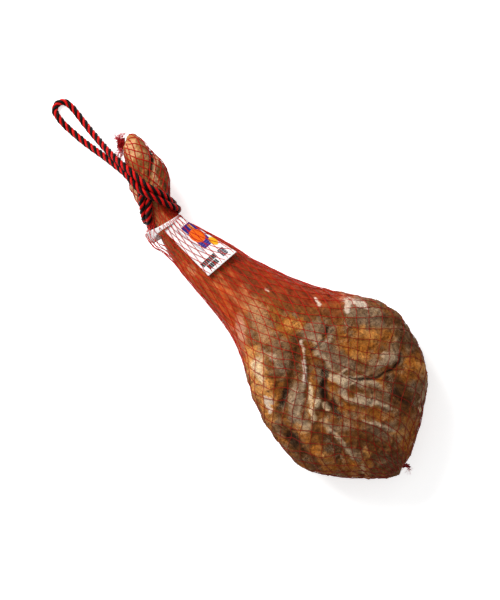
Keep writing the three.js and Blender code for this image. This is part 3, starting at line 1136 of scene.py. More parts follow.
@dataclass
class Ham:
    """The cured leg: the CAD solid's shape, with its folds, lobes and pits as geometry."""

    voxel: float = 1.8
    levels: int = 2
    calm: float = 0.6  # how far each round of smoothing moves a point
    calm_rounds: int = 14
    seed: int = 11
    floor_gap: float = 0.9  # room for the net's threads between the ham and what it rests on
    lean_edge: Plan = (  # y, and the x where the red muscle gives way to the rind
        (-95, 396), (-70, 374), (-45, 352), (-20, 338), (0, 344),
        (20, 370), (40, 402), (60, 426), (95, 434),
    )
    depth_limits: Pair = (-8.0, 6.0)  # how far folds and noise reach in and out
    # x from, x to and height of each swell on the far side
    swells: tuple[Place, ...] = ((545, 665, 3.2), (160, 290, 4.0))
    made: Object = field(init=False)

    def build(self) -> None:
        """Makes the ham's mesh, with the attributes that its finish reads."""
        self.made = self._smooth_copy()
        points = points_of(self.made.data)
        outwards = normals_of(self.made.data)
        moved = self._sculpt(points, outwards)
        set_points(self.made.data, moved)
        self._paint(points, outwards)

    def _smooth_copy(self) -> Object:
        """The CAD solid with its facets smoothed away and an even fine mesh."""
        copy = new_object("cured_ham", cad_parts["ham"].data.copy())
        mesh = bmesh.new()
        mesh.from_mesh(copy.data)
        bmesh.ops.remove_doubles(mesh, verts=mesh.verts, dist=WELD * MM)
        mesh.to_mesh(copy.data)
        mesh.free()
        copy.data.materials.clear()
        finer = copy.modifiers.new("finer", "SUBSURF")
        finer.levels = finer.render_levels = self.levels
        even = copy.modifiers.new("even", "REMESH")
        even.mode = "VOXEL"
        even.voxel_size = self.voxel * MM
        calm = copy.modifiers.new("calm", "SMOOTH")
        calm.factor = self.calm
        calm.iterations = self.calm_rounds
        return settle(copy)

    def _sculpt(self, points: Points, outwards: Points) -> Points:
        """Moves the surface in and out by the folds, the lumps and the skin's wrinkles.

        Each noise has its depth in millimetres before it and the width of its lumps after it.

        Args:
            points: the smooth surface.
            outwards: its normals.

        Returns:
            The moved points.
        """
        lumps, ripples, creases = (Lattice(self.seed + k) for k in range(3))
        upper = smoothstep(0.02, 0.4, outwards[:, 2])
        butt = smoothstep(350, 440, points[:, 0])
        hock = smoothstep(150, 100, points[:, 0])
        shank = (1 - butt) * (1 - hock)
        plan = points[:, :2] + self._waver(points)
        rise = sum(stroke.rise(plan) for stroke in STROKES) * upper
        rise += butt * (2.2 * lumps.fractal(points, 62, 3) + 1.5 * lumps.fractal(points + 7, 22, 3))
        wrinkle = 1 - np.abs(ripples.fractal(points, (26, 15, 15), 3))
        rise += butt * 2.2 * (smoothstep(0.72, 1.0, wrinkle) - 0.25)
        crack = smoothstep(0.88, 1.0, 1 - np.abs(creases.fractal(points, 21, 3)))
        rise -= butt * 1.6 * crack
        rise += shank * (0.9 * lumps.fractal(points, (70, 12, 12), 3) + 0.5 * ripples.at(points, 7))
        folds = 1 - np.abs(creases.fractal(points, (7, 24, 24), 2))
        rise += hock * (1.2 * lumps.fractal(points, 15, 3) + 1.0 * (smoothstep(0.6, 1, folds) - 0.4))
        rise += (0.25 + 0.35 * butt) * ripples.fractal(points, 5, 2)
        rise = np.clip(rise, *self.depth_limits)
        far_side = smoothstep(0.3, 0.9, outwards[:, 1])
        for start, stop, height in self.swells:
            rise += height * self._window(points[:, 0], start, stop) * far_side
        lying = smoothstep(16, 3, points[:, 2]) * smoothstep(0.1, -0.6, outwards[:, 2])
        moved = points + outwards * (rise * (1 - lying))[:, None]
        moved[:, 2] = np.maximum(moved[:, 2], self.floor_gap)
        return moved

    @staticmethod
    def _window(place: Points, start: float, stop: float) -> Points:
        """1 well inside a stretch, easing to 0 at both its ends."""
        ease = 0.3 * (stop - start)
        return smoothstep(start, start + ease, place) * smoothstep(stop, stop - ease, place)

    def _waver(self, points: Points) -> Points:
        """A small sideways wander that keeps drawn lines from looking drawn.

        Args:
            points: the smooth surface.

        Returns:
            The wander of each point in x and y.
        """
        drift = Lattice(self.seed + 9)
        wide = [drift.at(points + shift, 16) * 1.7 for shift in (0, 90)]
        fine = [drift.at(points + shift, 5) * 0.8 for shift in (40, 130)]
        return np.stack([wide[0] + fine[0], wide[1] + fine[1]], axis=1)

    def _paint(self, points: Points, outwards: Points) -> None:
        """Stores what the finish reads: the skin's colour, with the painted shade and highlights of some
        marks, and how chalky it is.

        Args:
            points: the smooth surface.
            outwards: its normals.
        """
        clouds, rags = Lattice(self.seed + 5), Lattice(self.seed + 6)
        upper = smoothstep(-0.15, 0.3, outwards[:, 2])
        rind, hock = self._regions(points)
        tint = self._ground(points, rind, hock)
        plan = points[:, :2] + 1.4 * self._waver(points)
        ragged = rags.fractal(points, 9, 5)
        chalk = np.zeros(len(points))
        for mark in MARKS:
            cover = mark.cover(plan, ragged) * upper
            tint += (np.array(mark.tone.value) - tint) * cover[:, None]
            if mark.tone is Tone.CHALK:
                chalk = np.maximum(chalk, cover)
        frost = smoothstep(0.55, 1.0, clouds.fractal(points, 30, 4)) * rind
        tint += (np.array(Tone.ASH.value) - tint) * (0.35 * frost)[:, None]
        mesh = self.made.data
        layer = mesh.attributes.new("tint", "FLOAT_COLOR", "POINT")
        light = np.ones((len(points), 4), np.float32)
        light[:, :3] = shown_all(tint)
        layer.data.foreach_set("color", light.ravel())
        set_attribute(mesh, "chalk", np.clip(chalk + 0.12 * frost, 0, 1))
        set_attribute(mesh, "rind", rind)
        set_attribute(mesh, "hock", hock)

    def _regions(self, points: Points) -> tuple[Points, Points]:
        """How far each place belongs to the rind of the butt, and to the hock.

        Args:
            points: the smooth surface.

        Returns:
            The two shares of each point, from 0 to 1.
        """
        drift = Lattice(self.seed + 7)
        across, edge = np.array(self.lean_edge).T
        border = np.interp(points[:, 1], across, edge) + 16 * drift.fractal(points, 30, 4)
        rind = smoothstep(-12, 26, points[:, 0] - border)
        hock = smoothstep(136, 108, points[:, 0] + 8 * drift.at(points, 18))
        return rind, hock

    def _ground(self, points: Points, rind: Points, hock: Points) -> Points:
        """The colours under the marks: streaked muscle, mottled rind and tanned hock.

        Args:
            points: the smooth surface.
            rind: how far each point belongs to the rind.
            hock: how far each point belongs to the hock.

        Returns:
            Display colours, one a row.
        """
        clouds, mottle = Lattice(self.seed + 3), Lattice(self.seed + 4)
        streak = mottle.fractal(points, (70, 4, 4), 4)
        cloud = clouds.fractal(points, 26, 4)
        fleck = mottle.fractal(points + 50, 5, 4)

        def blend(first: Points | Tone, second: Tone, share: Points) -> Points:
            """A tone laid over a colour by a share."""
            base = np.array(first.value, float) if isinstance(first, Tone) else first
            share = np.clip(share, 0, 1)[:, None]
            return base + (np.array(second.value, float) - base) * share

        # The muscle runs from rust on the far side to brighter ember and tan on the near side, which faces
        # the key lamp: partly its own colour, partly painted light and shade.
        side = smoothstep(16, -42, points[:, 1] + 10 * cloud)
        lean = blend(Tone.RUST, Tone.EMBER, side * 0.9)
        lean = blend(lean, Tone.UMBER, smoothstep(0.05, 0.8, streak) * 0.5)
        lean = blend(lean, Tone.TAN, smoothstep(0.15, 0.9, -streak) * (0.14 + 0.36 * side))
        rough = blend(Tone.BROWN, Tone.SMOKE, smoothstep(-0.1, 0.7, cloud) * 0.7)
        rough = blend(rough, Tone.AMBER, smoothstep(0.05, 0.7, -cloud) * 0.5)
        rough = blend(rough, Tone.UMBER, smoothstep(0.1, 0.8, fleck) * 0.45)
        rough = blend(rough, Tone.TAN, smoothstep(0.25, 0.9, -fleck) * 0.28)
        tan = blend(Tone.HIDE, Tone.BROWN, smoothstep(-0.1, 0.8, fleck) * 0.75)
        tan = blend(tan, Tone.BUFF, smoothstep(0.2, 0.9, -cloud) * 0.5)
        seam = np.clip(1 - np.abs(rind - 0.35) * 2.2, 0, 1)
        colour = lean + (rough - lean) * rind[:, None]
        colour = blend(colour, Tone.AMBER, seam * 0.45)
        return colour + (tan - colour) * hock[:, None]

    def dress(self, finish: "RindFinish") -> None:
        """Gives the ham its finish and sets it on the body in place of the CAD ham."""
        self.made.data.materials.append(finish.material())
        finish_piece(self.made, "skin", ["ham"])


@dataclass(frozen=True)
class RindFinish:
    """The painted skin with what is too fine to paint: grain, mould specks, pits and crystals."""

    soot: Colour = (0.30, 0.22, 0.16)
    glow: Colour = (1.9, 1.75, 1.55)
    dust: Colour = shown(228, 198, 158)
    blood: Colour = (0.62, 0.42, 0.36)

    def material(self) -> Material:
        """The whole skin as one material."""
        g = ShaderGraph("rind")
        tint = g.node("ShaderNodeAttribute", {"attribute_name": "tint"}).outputs["Color"]
        rind, hock, chalk = g.attribute("rind"), g.attribute("hock"), g.attribute("chalk")
        mottle = g.noise(190, 4, 0.7, 0.5)
        grain = g.noise(480, 3, 0.75)
        specks = g.noise(950, 2, 0.6)
        fibres = g.noise(170, 4, 0.65, 0.2, at=g.stretched((0.16, 1, 1)))
        patchy = g.noise(38, 3, 0.6)
        lean = (1 - rind) * (1 - hock)

        colour = g.mix(tint, self.blood, fibres.above(0.48, 0.66) * lean * 0.9, "MULTIPLY")
        colour = g.mix(colour, self.glow, (1 - fibres).above(0.5, 0.7) * lean * 0.55, "MULTIPLY")
        dark = (grain * 0.65 + mottle * 0.35).above(0.5, 0.62)
        colour = g.mix(colour, self.soot, dark * (0.12 + rind * 0.7 + hock * 0.3), "MULTIPLY")
        light = ((1 - grain) * 0.6 + (1 - mottle) * 0.4).above(0.52, 0.66)
        colour = g.mix(colour, self.glow, light * (rind * 0.72 + hock * 0.45 + 0.05), "MULTIPLY")
        bloom = (specks * 0.5 + patchy * 0.5).above(0.53, 0.63)
        colour = g.mix(colour, self.dust, bloom * rind * 0.44)
        colour = g.mix(colour, self.soot, specks.above(0.6, 0.7) * rind * 0.65, "MULTIPLY")
        crystals = (chalk + (grain - 0.5) * 0.9).above(0.5, 0.8)
        colour = g.mix(colour, self.dust, crystals * 0.35)

        rough = 0.44 + rind * 0.22 + (grain - 0.5) * 0.3 + chalk * 0.15
        pits = g.bump(grain * 0.8 + specks * 0.5, 1.35)
        lumps = g.bump(mottle * (0.35 + rind + hock * 0.6) + fibres * lean * 0.6, 2.2, after=pits)
        return g.shade({
            "Base Color": colour,
            "Roughness": rough.clamped(),
            "Normal": lumps,
            "Specular IOR Level": 0.08,
        })


# ---- the hangtag ----


@dataclass
class HangTag:
    """A white card tag, and the narrow card band that holds it round the shank."""

    near_x: float = 162.5
    far_x: float = 262.5
    near_edges: Pair = (-50.0, -17.0)
    far_edges: Pair = (-43.3, 14.2)
    thickness: float = 0.45
    band_centre: Pair = (-46.2, 53.0)
    band_radii: Pair = (31.0, 28.4)
    band_width: float = 7.0
    band_flare: float = 8.0  # how much wider the band is crumpled on its loose side
    band_slant: float = 8.0
    bed_middle: Pair = (210.0, -22.0)
    bed_reach: Pair = (50.0, 30.0)
    lift: float = 5.5  # how far the free end stands up
    ripple: float = 0.7
    clearance: float = 0.6
    columns: int = 36
    rows: int = 56
    band_rows: int = 6
    band_steps: int = 120
    seed: int = 41
    card: Object = field(init=False)
    band: Object = field(init=False)

    def build(self, ham: BVHTree) -> None:
        """Makes the tag over the ham's skin, and the band."""
        self.card = self._tag(ham)
        self.band = self._loop()

    def _bed(self) -> Callable[[Points, Points], Points]:
        """The smooth height of the CAD label's tag over the plan, as a function of x and y."""
        points = points_of(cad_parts["label"].data)
        outwards = normals_of(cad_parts["label"].data)
        inside = (points[:, 0] > self.near_x + 8) & (points[:, 0] < self.far_x - 1)
        chosen = points[inside & (outwards[:, 2] > 0.3)]

        def terms(x: Points, y: Points) -> Points:
            """The terms of a smooth surface, centred and scaled to the tag."""
            u = (x - self.bed_middle[0]) / self.bed_reach[0]
            v = (y - self.bed_middle[1]) / self.bed_reach[1]
            return np.stack([np.ones_like(u), u, v, u * u, u * v, v * v, u * v * v], axis=-1)

        fit, *_ = np.linalg.lstsq(terms(chosen[:, 0], chosen[:, 1]), chosen[:, 2], rcond=None)
        return lambda x, y: terms(x, y) @ fit

    def _tag(self, ham: BVHTree) -> Object:
        """The tag, lying on the shank, with its far end lifted and a little curled.

        Args:
            ham: the skin that it must not sink into.

        Returns:
            The tag's mesh.
        """
        bed = self._bed()
        down, across = np.meshgrid(
            np.linspace(0, 1, self.rows + 1), np.linspace(0, 1, self.columns + 1), indexing="ij"
        )
        x = self.near_x + down * (self.far_x - self.near_x)
        left = self.near_edges[0] + down * (self.far_edges[0] - self.near_edges[0])
        right = self.near_edges[1] + down * (self.far_edges[1] - self.near_edges[1])
        y = left + across * (right - left)
        wave = self.ripple * np.sin(5.2 * down + 2.4 * across) * down
        lifted = self.lift * smoothstep(0.72, 1.0, down) * (0.5 + 0.55 * across)
        z = bed(x, y) + wave + lifted
        for index in np.ndindex(z.shape):
            above = to_frame((x[index], y[index], 200))
            hit = ham.ray_cast(Vector(above), Vector((0, 0, -1)))[0]
            if hit is not None:
                z[index] = max(z[index], hit.z / MM + self.clearance)
        points = np.stack([x, y, z], axis=-1).reshape(-1, 3)
        faces = [(a, d, c, b) for a, b, c, d in grid_faces(self.rows, self.columns + 1)]
        card = mesh_object("tag_card", points, faces)
        self._print_map(card, x.ravel() - self.near_x, (y - (left + right) / 2).ravel())
        return self._thicken(card)

    def _print_map(self, made: Object, down: Points, across: Points) -> None:
        """Gives a sheet a UV map in centimetres of card.

        Args:
            made: the sheet.
            down: how far each vertex is from the narrow end, in millimetres.
            across: how far it is from the card's middle, in millimetres.
        """
        layer = made.data.uv_layers.new(name="print")
        corners = np.empty(len(made.data.loops), np.int32)
        made.data.loops.foreach_get("vertex_index", corners)
        layer.data.foreach_set("uv", np.stack([down[corners], across[corners]], 1).ravel() / 10)

    def _thicken(self, made: Object) -> Object:
        """Gives a sheet the card's thickness.

        Args:
            made: the sheet, which is used up.

        Returns:
            The card.
        """
        wall = made.modifiers.new("wall", "SOLIDIFY")
        wall.thickness = self.thickness * MM
        wall.offset = 1
        return settle(made)

    def _loop(self) -> Object:
        """The band: a crumpled oval strip of card, loose on the tag's far side."""
        crumple = Lattice(self.seed)
        turn = np.linspace(0, 2 * np.pi, self.band_steps, endpoint=False)
        loose = smoothstep(-0.1, -0.9, np.cos(turn))
        slant = smoothstep(0.9, -1.0, np.cos(turn)) * smoothstep(-1.0, 0.2, np.sin(turn))
        points = []
        for row in range(self.band_rows + 1):
            share = row / self.band_rows
            probe = np.stack([np.cos(turn) * 30, np.sin(turn) * 30, np.full_like(turn, 9 * share)], 1)
            swell = loose * (0.2 + 1.6 * crumple.fractal(probe, 8, 3))
            width = self.band_width + self.band_flare * loose
            x = self.near_x - 1.5 + (share - 0.5) * width + loose * 2.2 * crumple.at(probe, 11)
            x = x - self.band_slant * slant
            y = self.band_centre[0] + (self.band_radii[0] + swell) * np.cos(turn)
            z = self.band_centre[1] + (self.band_radii[1] + swell) * np.sin(turn)
            points.append(np.stack([x, y, z], axis=1))
        faces = grid_faces(self.band_rows, self.band_steps, wraps=True)
        band = mesh_object("tag_band", np.concatenate(points), faces)
        blank = np.full(len(band.data.vertices), 50.0)
        self._print_map(band, blank, blank)
        return self._thicken(band)

    def dress(self, finish: "CardFinish") -> None:
        """Gives the card its print and sets both pieces on the body in place of the CAD label."""
        material = finish.material()
        for made in (self.card, self.band):
            made.data.materials.append(material)
            finish_piece(made, "card", ["label"])


@dataclass(frozen=True)
class CardFinish:
    """White card with plain print: a panel, a disc, a spot and bars, and no words or signs."""

    white: Colour = shown(241, 238, 237)
    panel: Colour = shown(42, 30, 118)
    panel_light: Colour = shown(112, 96, 180)
    disc: Colour = shown(238, 104, 14)
    disc_dark: Colour = shown(178, 46, 10)
    spot: Colour = shown(240, 172, 22)
    ink: Colour = shown(22, 18, 20)
    grey: Colour = shown(84, 84, 92)
    faint: Colour = shown(168, 168, 176)

    def material(self) -> Material:
        """The card's printed face. Print lengths are in centimetres from the narrow end's middle."""
        g = ShaderGraph("printed_card")
        plate = g.node("ShaderNodeUVMap", {"uv_map": "print"}).outputs["UV"]
        down, across = g.split(plate)
        slant = across + down * 0.04

        def block(start: float, end: float, left: float, right: float, edge: float = 0.03) -> Field:
            """1 inside an upright rectangle of print."""
            along = down.above(start - edge, start + edge) * (1 - down.above(end - edge, end + edge))
            wide = slant.above(left - edge, left + edge) * (1 - slant.above(right - edge, right + edge))
            return along * wide

        def away(x: float, y: float, stretch: float = 1.0) -> Field:
            """Distance from a point of the card, squeezed along its length."""
            one, two = (down - x) / stretch, across - y
            return (one * one + two * two).power(0.5)

        bars = g.fraction(down * 2.6).above(0.4, 0.6)
        tick = g.fraction(across * 3.1)
        ticks = tick.above(0.08, 0.2) * (1 - tick.above(0.86, 0.96))
        colour = g.mix(self.white, self.panel, block(1.45, 6.4, 0.35, 2.2))
        colour = g.mix(colour, self.panel_light, block(5.2, 6.3, 0.5, 1.9) * bars * 0.45)
        colour = g.mix(colour, self.spot, block(1.7, 3.0, 1.3, 1.75) * 0.7)
        disc = away(4.0, 1.0, 1.28)
        colour = g.mix(colour, self.disc, 1 - disc.above(0.96, 1.08))
        worn = g.noise(420, 3, 0.6).above(0.45, 0.7) * (1 - disc.above(0.8, 1.0))
        colour = g.mix(colour, self.disc_dark, worn * 0.35)
        colour = g.mix(colour, self.spot, 1 - away(6.3, 1.95, 1.7).above(0.46, 0.56))
        barred = ticks * 0.35 + 0.65
        colour = g.mix(colour, self.ink, block(7.75, 8.55, -2.0, 0.8) * barred)
        colour = g.mix(colour, self.ink, block(8.65, 9.45, -1.55, 0.35) * barred)
        colour = g.mix(colour, self.grey, block(7.85, 9.25, 1.35, 2.4) * (ticks.most(bars) * 0.6 + 0.4))
        line = (across - down * 0.02 + 0.42).size()
        colour = g.mix(colour, self.faint, (1 - line.above(0.05, 0.22)) * block(1.2, 6.6, -3, 0.5) * 0.8)
        crinkle = g.noise(140, 3, 0.5)
        return g.shade({
            "Base Color": colour,
            "Roughness": 0.5,
            "Specular IOR Level": 0.12,
            "Normal": g.bump(crinkle, 0.35),
        })


# ---- the net ----


@dataclass
class Wrapping:
    """The surface that the net is stretched over, measured as rings from the trotter to the butt."""

    toe: Place = (54.0, -3.0, 57.0)
    toe_pole: Place = (-39.0, -8.0, 0.0)
    butt: Place = (566.0, -6.0, 64.0)
    butt_pole: Place = (131.0, -14.0, -7.0)
    cap_rings: int = 60
    body_rings: int = 300
    sides: int = 288
    reach: float = 420.0
    bridge: float = 13.0  # hollows narrower than twice this are spanned, not followed
    stand_off: float = 0.55
    floor: float = 0.42
    probes: int = 26  # along the ham, to find its middle
    probe_width: float = 16.0
    calm_rings: int = 24
    toe_ease: float = 60.0  # over which the spine leaves the toe
    butt_ease: float = 80.0
    pouch: Plan = ((141, -64), (149, -75), (158, -79.5), (172, -79.5), (188, -73), (206, -66))
    grid: Points = field(init=False)
    length: Points = field(init=False)
    girth: Points = field(init=False)

    def measure(self, pieces: Sequence[BVHTree]) -> None:
        """Casts rays inwards on to what the net covers, and spans what lies hollow.

        Args:
            pieces: the surfaces that it covers.
        """
        centres, tilts, poles = self._spine()
        angles = np.linspace(0, 2 * np.pi, self.sides, endpoint=False)
        rim = np.stack([np.zeros_like(angles), np.cos(angles), np.sin(angles)], axis=1)
        radius = np.zeros((len(centres), self.sides))
        ways = np.zeros((len(centres), self.sides, 3))
        for i, (centre, tilt, pole) in enumerate(zip(centres, tilts, poles)):
            ways[i] = math.cos(tilt) * rim + math.sin(tilt) * pole
            ways[i] /= np.linalg.norm(ways[i], axis=1)[:, None]
            for j, way in enumerate(ways[i]):
                radius[i, j] = self._outermost(pieces, centre, way)
            radius[i] = np.maximum(radius[i], self._pouch_at(centre, ways[i]))
        spread = self._spread(radius, centres, ways)
        self.grid = centres[:, None, :] + ways * (spread + self.stand_off)[:, :, None]
        self.grid[:, :, 2] = np.maximum(self.grid[:, :, 2], self.floor)
        steps = np.linalg.norm(np.diff(self.grid, axis=0), axis=2).mean(axis=1)
        self.length = np.concatenate([[0], np.cumsum(steps)])
        self.girth = np.linalg.norm(np.roll(self.grid, -1, axis=1) - self.grid, axis=2).sum(axis=1)

    def _pouch_at(self, centre: Points, ways: Points) -> Points:
        """How far out the net stands beside the band's loose side, where it hangs off the shank."""
        if not self.pouch[0][0] < centre[0] < self.pouch[-1][0]:
            return np.zeros(len(ways))
        edge = np.interp(centre[0], *np.array(self.pouch).T)
        return (centre[1] - edge) * smoothstep(0.25, 0.8, -ways[:, 1])

    def _spine(self) -> tuple[Points, Points, Points]:
        """Each ring's centre, its tilt towards the nearer end, and the way that end points."""
        toe, butt = np.array(self.toe), np.array(self.butt)
        x = np.linspace(toe[0], butt[0], self.body_rings)
        ham = points_of(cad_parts["ham"].data)
        middles = []
        for place in np.linspace(toe[0], butt[0], self.probes):
            near = ham[np.abs(ham[:, 0] - place) < self.probe_width]
            middles.append((place, *(near[:, 1:].min(axis=0) + near[:, 1:].max(axis=0)) / 2))
        middles = np.array(middles)
        body = np.stack([x, np.interp(x, *middles[:, :2].T), np.interp(x, *middles[:, ::2].T)], 1)
        body[:, 1:] = self._calm(body[:, 1:], self.calm_rings)
        for end, gap, reach in ((toe, x - toe[0], self.toe_ease), (butt, butt[0] - x, self.butt_ease)):
            ease = smoothstep(reach, 0, gap)[:, None]
            axis = np.column_stack([x, np.full_like(x, end[1]), np.full_like(x, end[2])])
            body = body * (1 - ease) + ease * axis
        tilt = np.linspace(0, np.pi / 2, self.cap_rings + 1)[1:]
        first = np.array(self.toe_pole) / np.linalg.norm(self.toe_pole)
        last = np.array(self.butt_pole) / np.linalg.norm(self.butt_pole)
        centres = np.concatenate([np.tile(toe, (len(tilt), 1)), body, np.tile(butt, (len(tilt), 1))])
        tilts = np.concatenate([tilt[::-1], np.zeros(len(body)), tilt])
        poles = np.concatenate([np.tile(first, (len(tilt), 1)), np.tile(last, (len(body) + len(tilt), 1))])
        return centres, tilts, poles

    @staticmethod
    def _calm(values: Points, width: int) -> Points:
        """A running mean down the first axis."""
        padded = np.pad(values, ((width, width), (0, 0)), mode="edge")
        total = sum(padded[k : k + len(values)] for k in range(2 * width + 1))
        return total / (2 * width + 1)

    def _outermost(self, pieces: Sequence[BVHTree], centre: Points, way: Points) -> float:
        """How far out the outermost surface lies.

        Args:
            pieces: the surfaces.
            centre: where to measure from.
            way: which way.

        Returns:
            The distance in millimetres, or 0 where there is nothing.
        """
        start = Vector(to_frame(centre + way * self.reach))
        best = 0.0
        for piece in pieces:
            gap = piece.ray_cast(start, Vector(-way))[3]
            if gap is not None:
                best = max(best, self.reach - gap / MM)
        return best

    def _spread(self, radius: Points, centres: Points, ways: Points) -> Points:
        """Spans narrow hollows by a widening and then the same narrowing.

        Args:
            radius: how far out the surface is on each ring and side.
            centres: the rings' centres.
            ways: which way each side lies.

        Returns:
            The radii of the stretched net.
        """
        surface = centres[:, None, :] + ways * radius[:, :, None]
        step = np.linalg.norm(np.diff(surface, axis=0), axis=2).mean()
        around = 2 * np.pi * radius.mean(axis=1) / self.sides
        rows = max(1, round(self.bridge / step))

        def sweep(values: Points, best: Callable[[Points, Points], Points]) -> Points:
            """The best value within the bridge's reach of each place."""
            across = values.copy()
            for i, gap in enumerate(around):
                for k in range(1, max(2, round(self.bridge / max(gap, 0.4)))):
                    shifted = best(np.roll(values[i], k), np.roll(values[i], -k))
                    across[i] = best(across[i], shifted)
            padded = np.pad(across, ((rows, rows), (0, 0)), mode="edge")
            result = across
            for k in range(2 * rows + 1):
                result = best(result, padded[k : k + len(values)])
            return result

        closed = sweep(sweep(radius, np.maximum), np.minimum)
        closed = np.maximum(closed, radius)
        blurred = self._calm(closed, 2)
        blurred = (blurred + np.roll(blurred, 1, axis=1) + np.roll(blurred, -1, axis=1)) / 3
        return np.maximum(blurred, radius)

    def at(self, ring: Points, angle: Points) -> Points:
        """Points of the wrapping.

        Args:
            ring: ring numbers, with fractions between rings.
            angle: the angles round the rings in radians.

        Returns:
            One drawing point for each pair.
        """
        ring = np.clip(ring, 0, len(self.grid) - 1.001)
        column = (angle / (2 * np.pi) * self.sides) % self.sides
        i, j = ring.astype(int), column.astype(int) % self.sides
        u, v = (ring - i)[:, None], (column - column.astype(int))[:, None]
        k = (j + 1) % self.sides
        near = self.grid[i, j] * (1 - v) + self.grid[i, k] * v
        far = self.grid[i + 1, j] * (1 - v) + self.grid[i + 1, k] * v
        return near * (1 - u) + far * u


@dataclass
class Net:
    """The knitted sleeve: two families of elastic threads that cross in small knots."""

    threads: int = 28
    mesh_side: float = 17.8
    hock_side: float = 5.9
    thread_radius: float = 0.47
    thread_sides: int = 5
    knot_radius: float = 0.82
    substeps: int = 6
    wander: float = 0.024
    hock_wander: float = 0.16
    pairing: float = 0.86  # how closely neighbours are drawn together on the hock
    drawn: Plan = ((120, 0.5), (170, 0.7), (360, 0.8), (460, 0.95))  # x, share of thread_radius
    first_ring: float = 16.0
    last_ring: float = 54.0
    seed: int = 23
    cords: Object = field(init=False)
    knots: Object = field(init=False)

    def build(self, wrapping: Wrapping, thread_material: Material) -> None:
        """Lays the threads and ties the knots.

        Args:
            wrapping: the surface that they lie on.
            thread_material: the yarn.
        """
        rings, twist = self._rows(wrapping)
        along = np.interp(rings, np.arange(len(wrapping.grid)), wrapping.grid[:, :, 0].mean(axis=1))
        paired = self.pairing * smoothstep(160, 118, along)
        pull = Lattice(self.seed)
        splines = []
        crossings = []
        for way in (1, -1):
            for k in range(self.threads):
                angle = 2 * np.pi * (k - k % 2 * paired) / self.threads + way * twist
                angle = angle + self._stray(pull, wrapping, rings, angle)
                points = wrapping.at(rings, angle)
                splines.append(points)
                if way == 1:
                    crossings.append(points[:: self.substeps])
        graph = thread_graph("net_threads")
        values = {"Radius": self.thread_radius * MM, "Sides": self.thread_sides, "Material": thread_material}
        curve = curve_object("net_threads", splines)
        for spline, points in zip(curve.data.splines, splines):
            spline.points.foreach_set("radius", np.interp(points[:, 0], *np.array(self.drawn).T))
        self.cords = graph.run(curve, values)
        graph = knot_graph("net_knots")
        values = {"Radius": self.knot_radius * MM, "Material": thread_material}
        self.knots = graph.run(mesh_object("net_knots", np.concatenate(crossings), []), values)

    def _rows(self, wrapping: Wrapping) -> tuple[Points, Points]:
        """Where every thread has its points.

        Args:
            wrapping: the surface that the threads lie on.

        Returns:
            The ring number of each point, and how far a thread has turned there.
        """
        half = wrapping.girth / (2 * self.threads)
        slack = smoothstep(165, 105, wrapping.grid[:, :, 0].mean(axis=1))
        side = self.mesh_side + slack * (self.hock_side - self.mesh_side)
        height = np.sqrt(np.maximum(side**2 - half**2, (0.3 * side) ** 2))
        rate = (np.pi / self.threads) / height
        steps = np.diff(wrapping.length)
        turned = np.concatenate([[0], np.cumsum((rate[1:] + rate[:-1]) / 2 * steps)])
        index = np.arange(len(turned))
        last = len(turned) - 1 - (wrapping.cap_rings - self.last_ring)
        start, stop = np.interp([self.first_ring, last], index, turned)
        step = np.pi / self.threads / self.substeps
        twist = np.arange(start, stop, step)
        return np.interp(twist, turned, index), twist - start

    def _stray(self, pull: Lattice, wrapping: Wrapping, rings: Points, angle: Points) -> Points:
        """How far a thread has been pulled round the ham.

        Args:
            pull: the noise that pulls it.
            wrapping: the surface that it lies on.
            rings: its ring numbers.
            angle: its angles.

        Returns:
            The change in each angle, in radians.
        """
        points = wrapping.at(rings, angle)
        hock = smoothstep(150, 90, points[:, 0])
        amount = self.wander * (1 - hock) + self.hock_wander * hock
        return amount * pull.fractal(points, (60, 30, 30), 2)

    def dress(self) -> None:
        """Sets the net's threads and knots on the body in place of the CAD sleeve."""
        for made in (self.cords, self.knots):
            finish_piece(made, "net", ["net_sleeve"])


def thread_graph(name: str) -> GeometryGraph:
    """Round threads along the curves of an object."""
    g = GeometryGraph(name, number=("Radius",), count=("Sides",), material=("Material",))
    g.end(g.tube(g.given["Geometry"], g.circle(g.given["Radius"])), g.given["Material"])
    return g


def knot_graph(name: str) -> GeometryGraph:
    """A small lumpy knot at each vertex of an object.

    Args:
        name: the tree's name.

    Returns:
        The tree, ready to run.
    """
    g = GeometryGraph(name, number=("Radius",), material=("Material",))
    inputs = {"Segments": 6, "Rings": 4, "Radius": g.given["Radius"]}
    ball = g.node("GeometryNodeMeshUVSphere", None, inputs).outputs["Mesh"]
    turn = g.chance(NO_TURN, FULL_TURN, 5)
    size = g.chance((0.7, 0.8, 0.9), (1.0, 1.2, 1.5), 9)
    g.end(g.strewn(g.given["Geometry"], ball, turn, size), g.given["Material"])
    return g


@dataclass(frozen=True)
class Lay:
    """How the threads of a gather are made."""

    radius: float
    sides: int
    curl: float  # how far their loose ends stray
    wave: float  # how many curls there are to the metre

    def values(self, material: Material) -> dict[str, Any]:
        """What `fray_graph` is given for such threads."""
        return {
            "Radius": self.radius * MM,
            "Sides": self.sides,
            "Curl": self.curl * MM,
            "Wave": self.wave,
            "Material": material,
        }


BOUND = Lay(radius=0.5, sides=5, curl=1.1, wave=160.0)
LOOSE = Lay(radius=0.26, sides=4, curl=6.5, wave=95.0)
GOLDEN = 0.618  # of a turn, which spreads the threads evenly over the bunch
FRAY_STEPS = 26
FRAY_GAIN = 3.0  # brings the curls' noise up to about -1 to 1


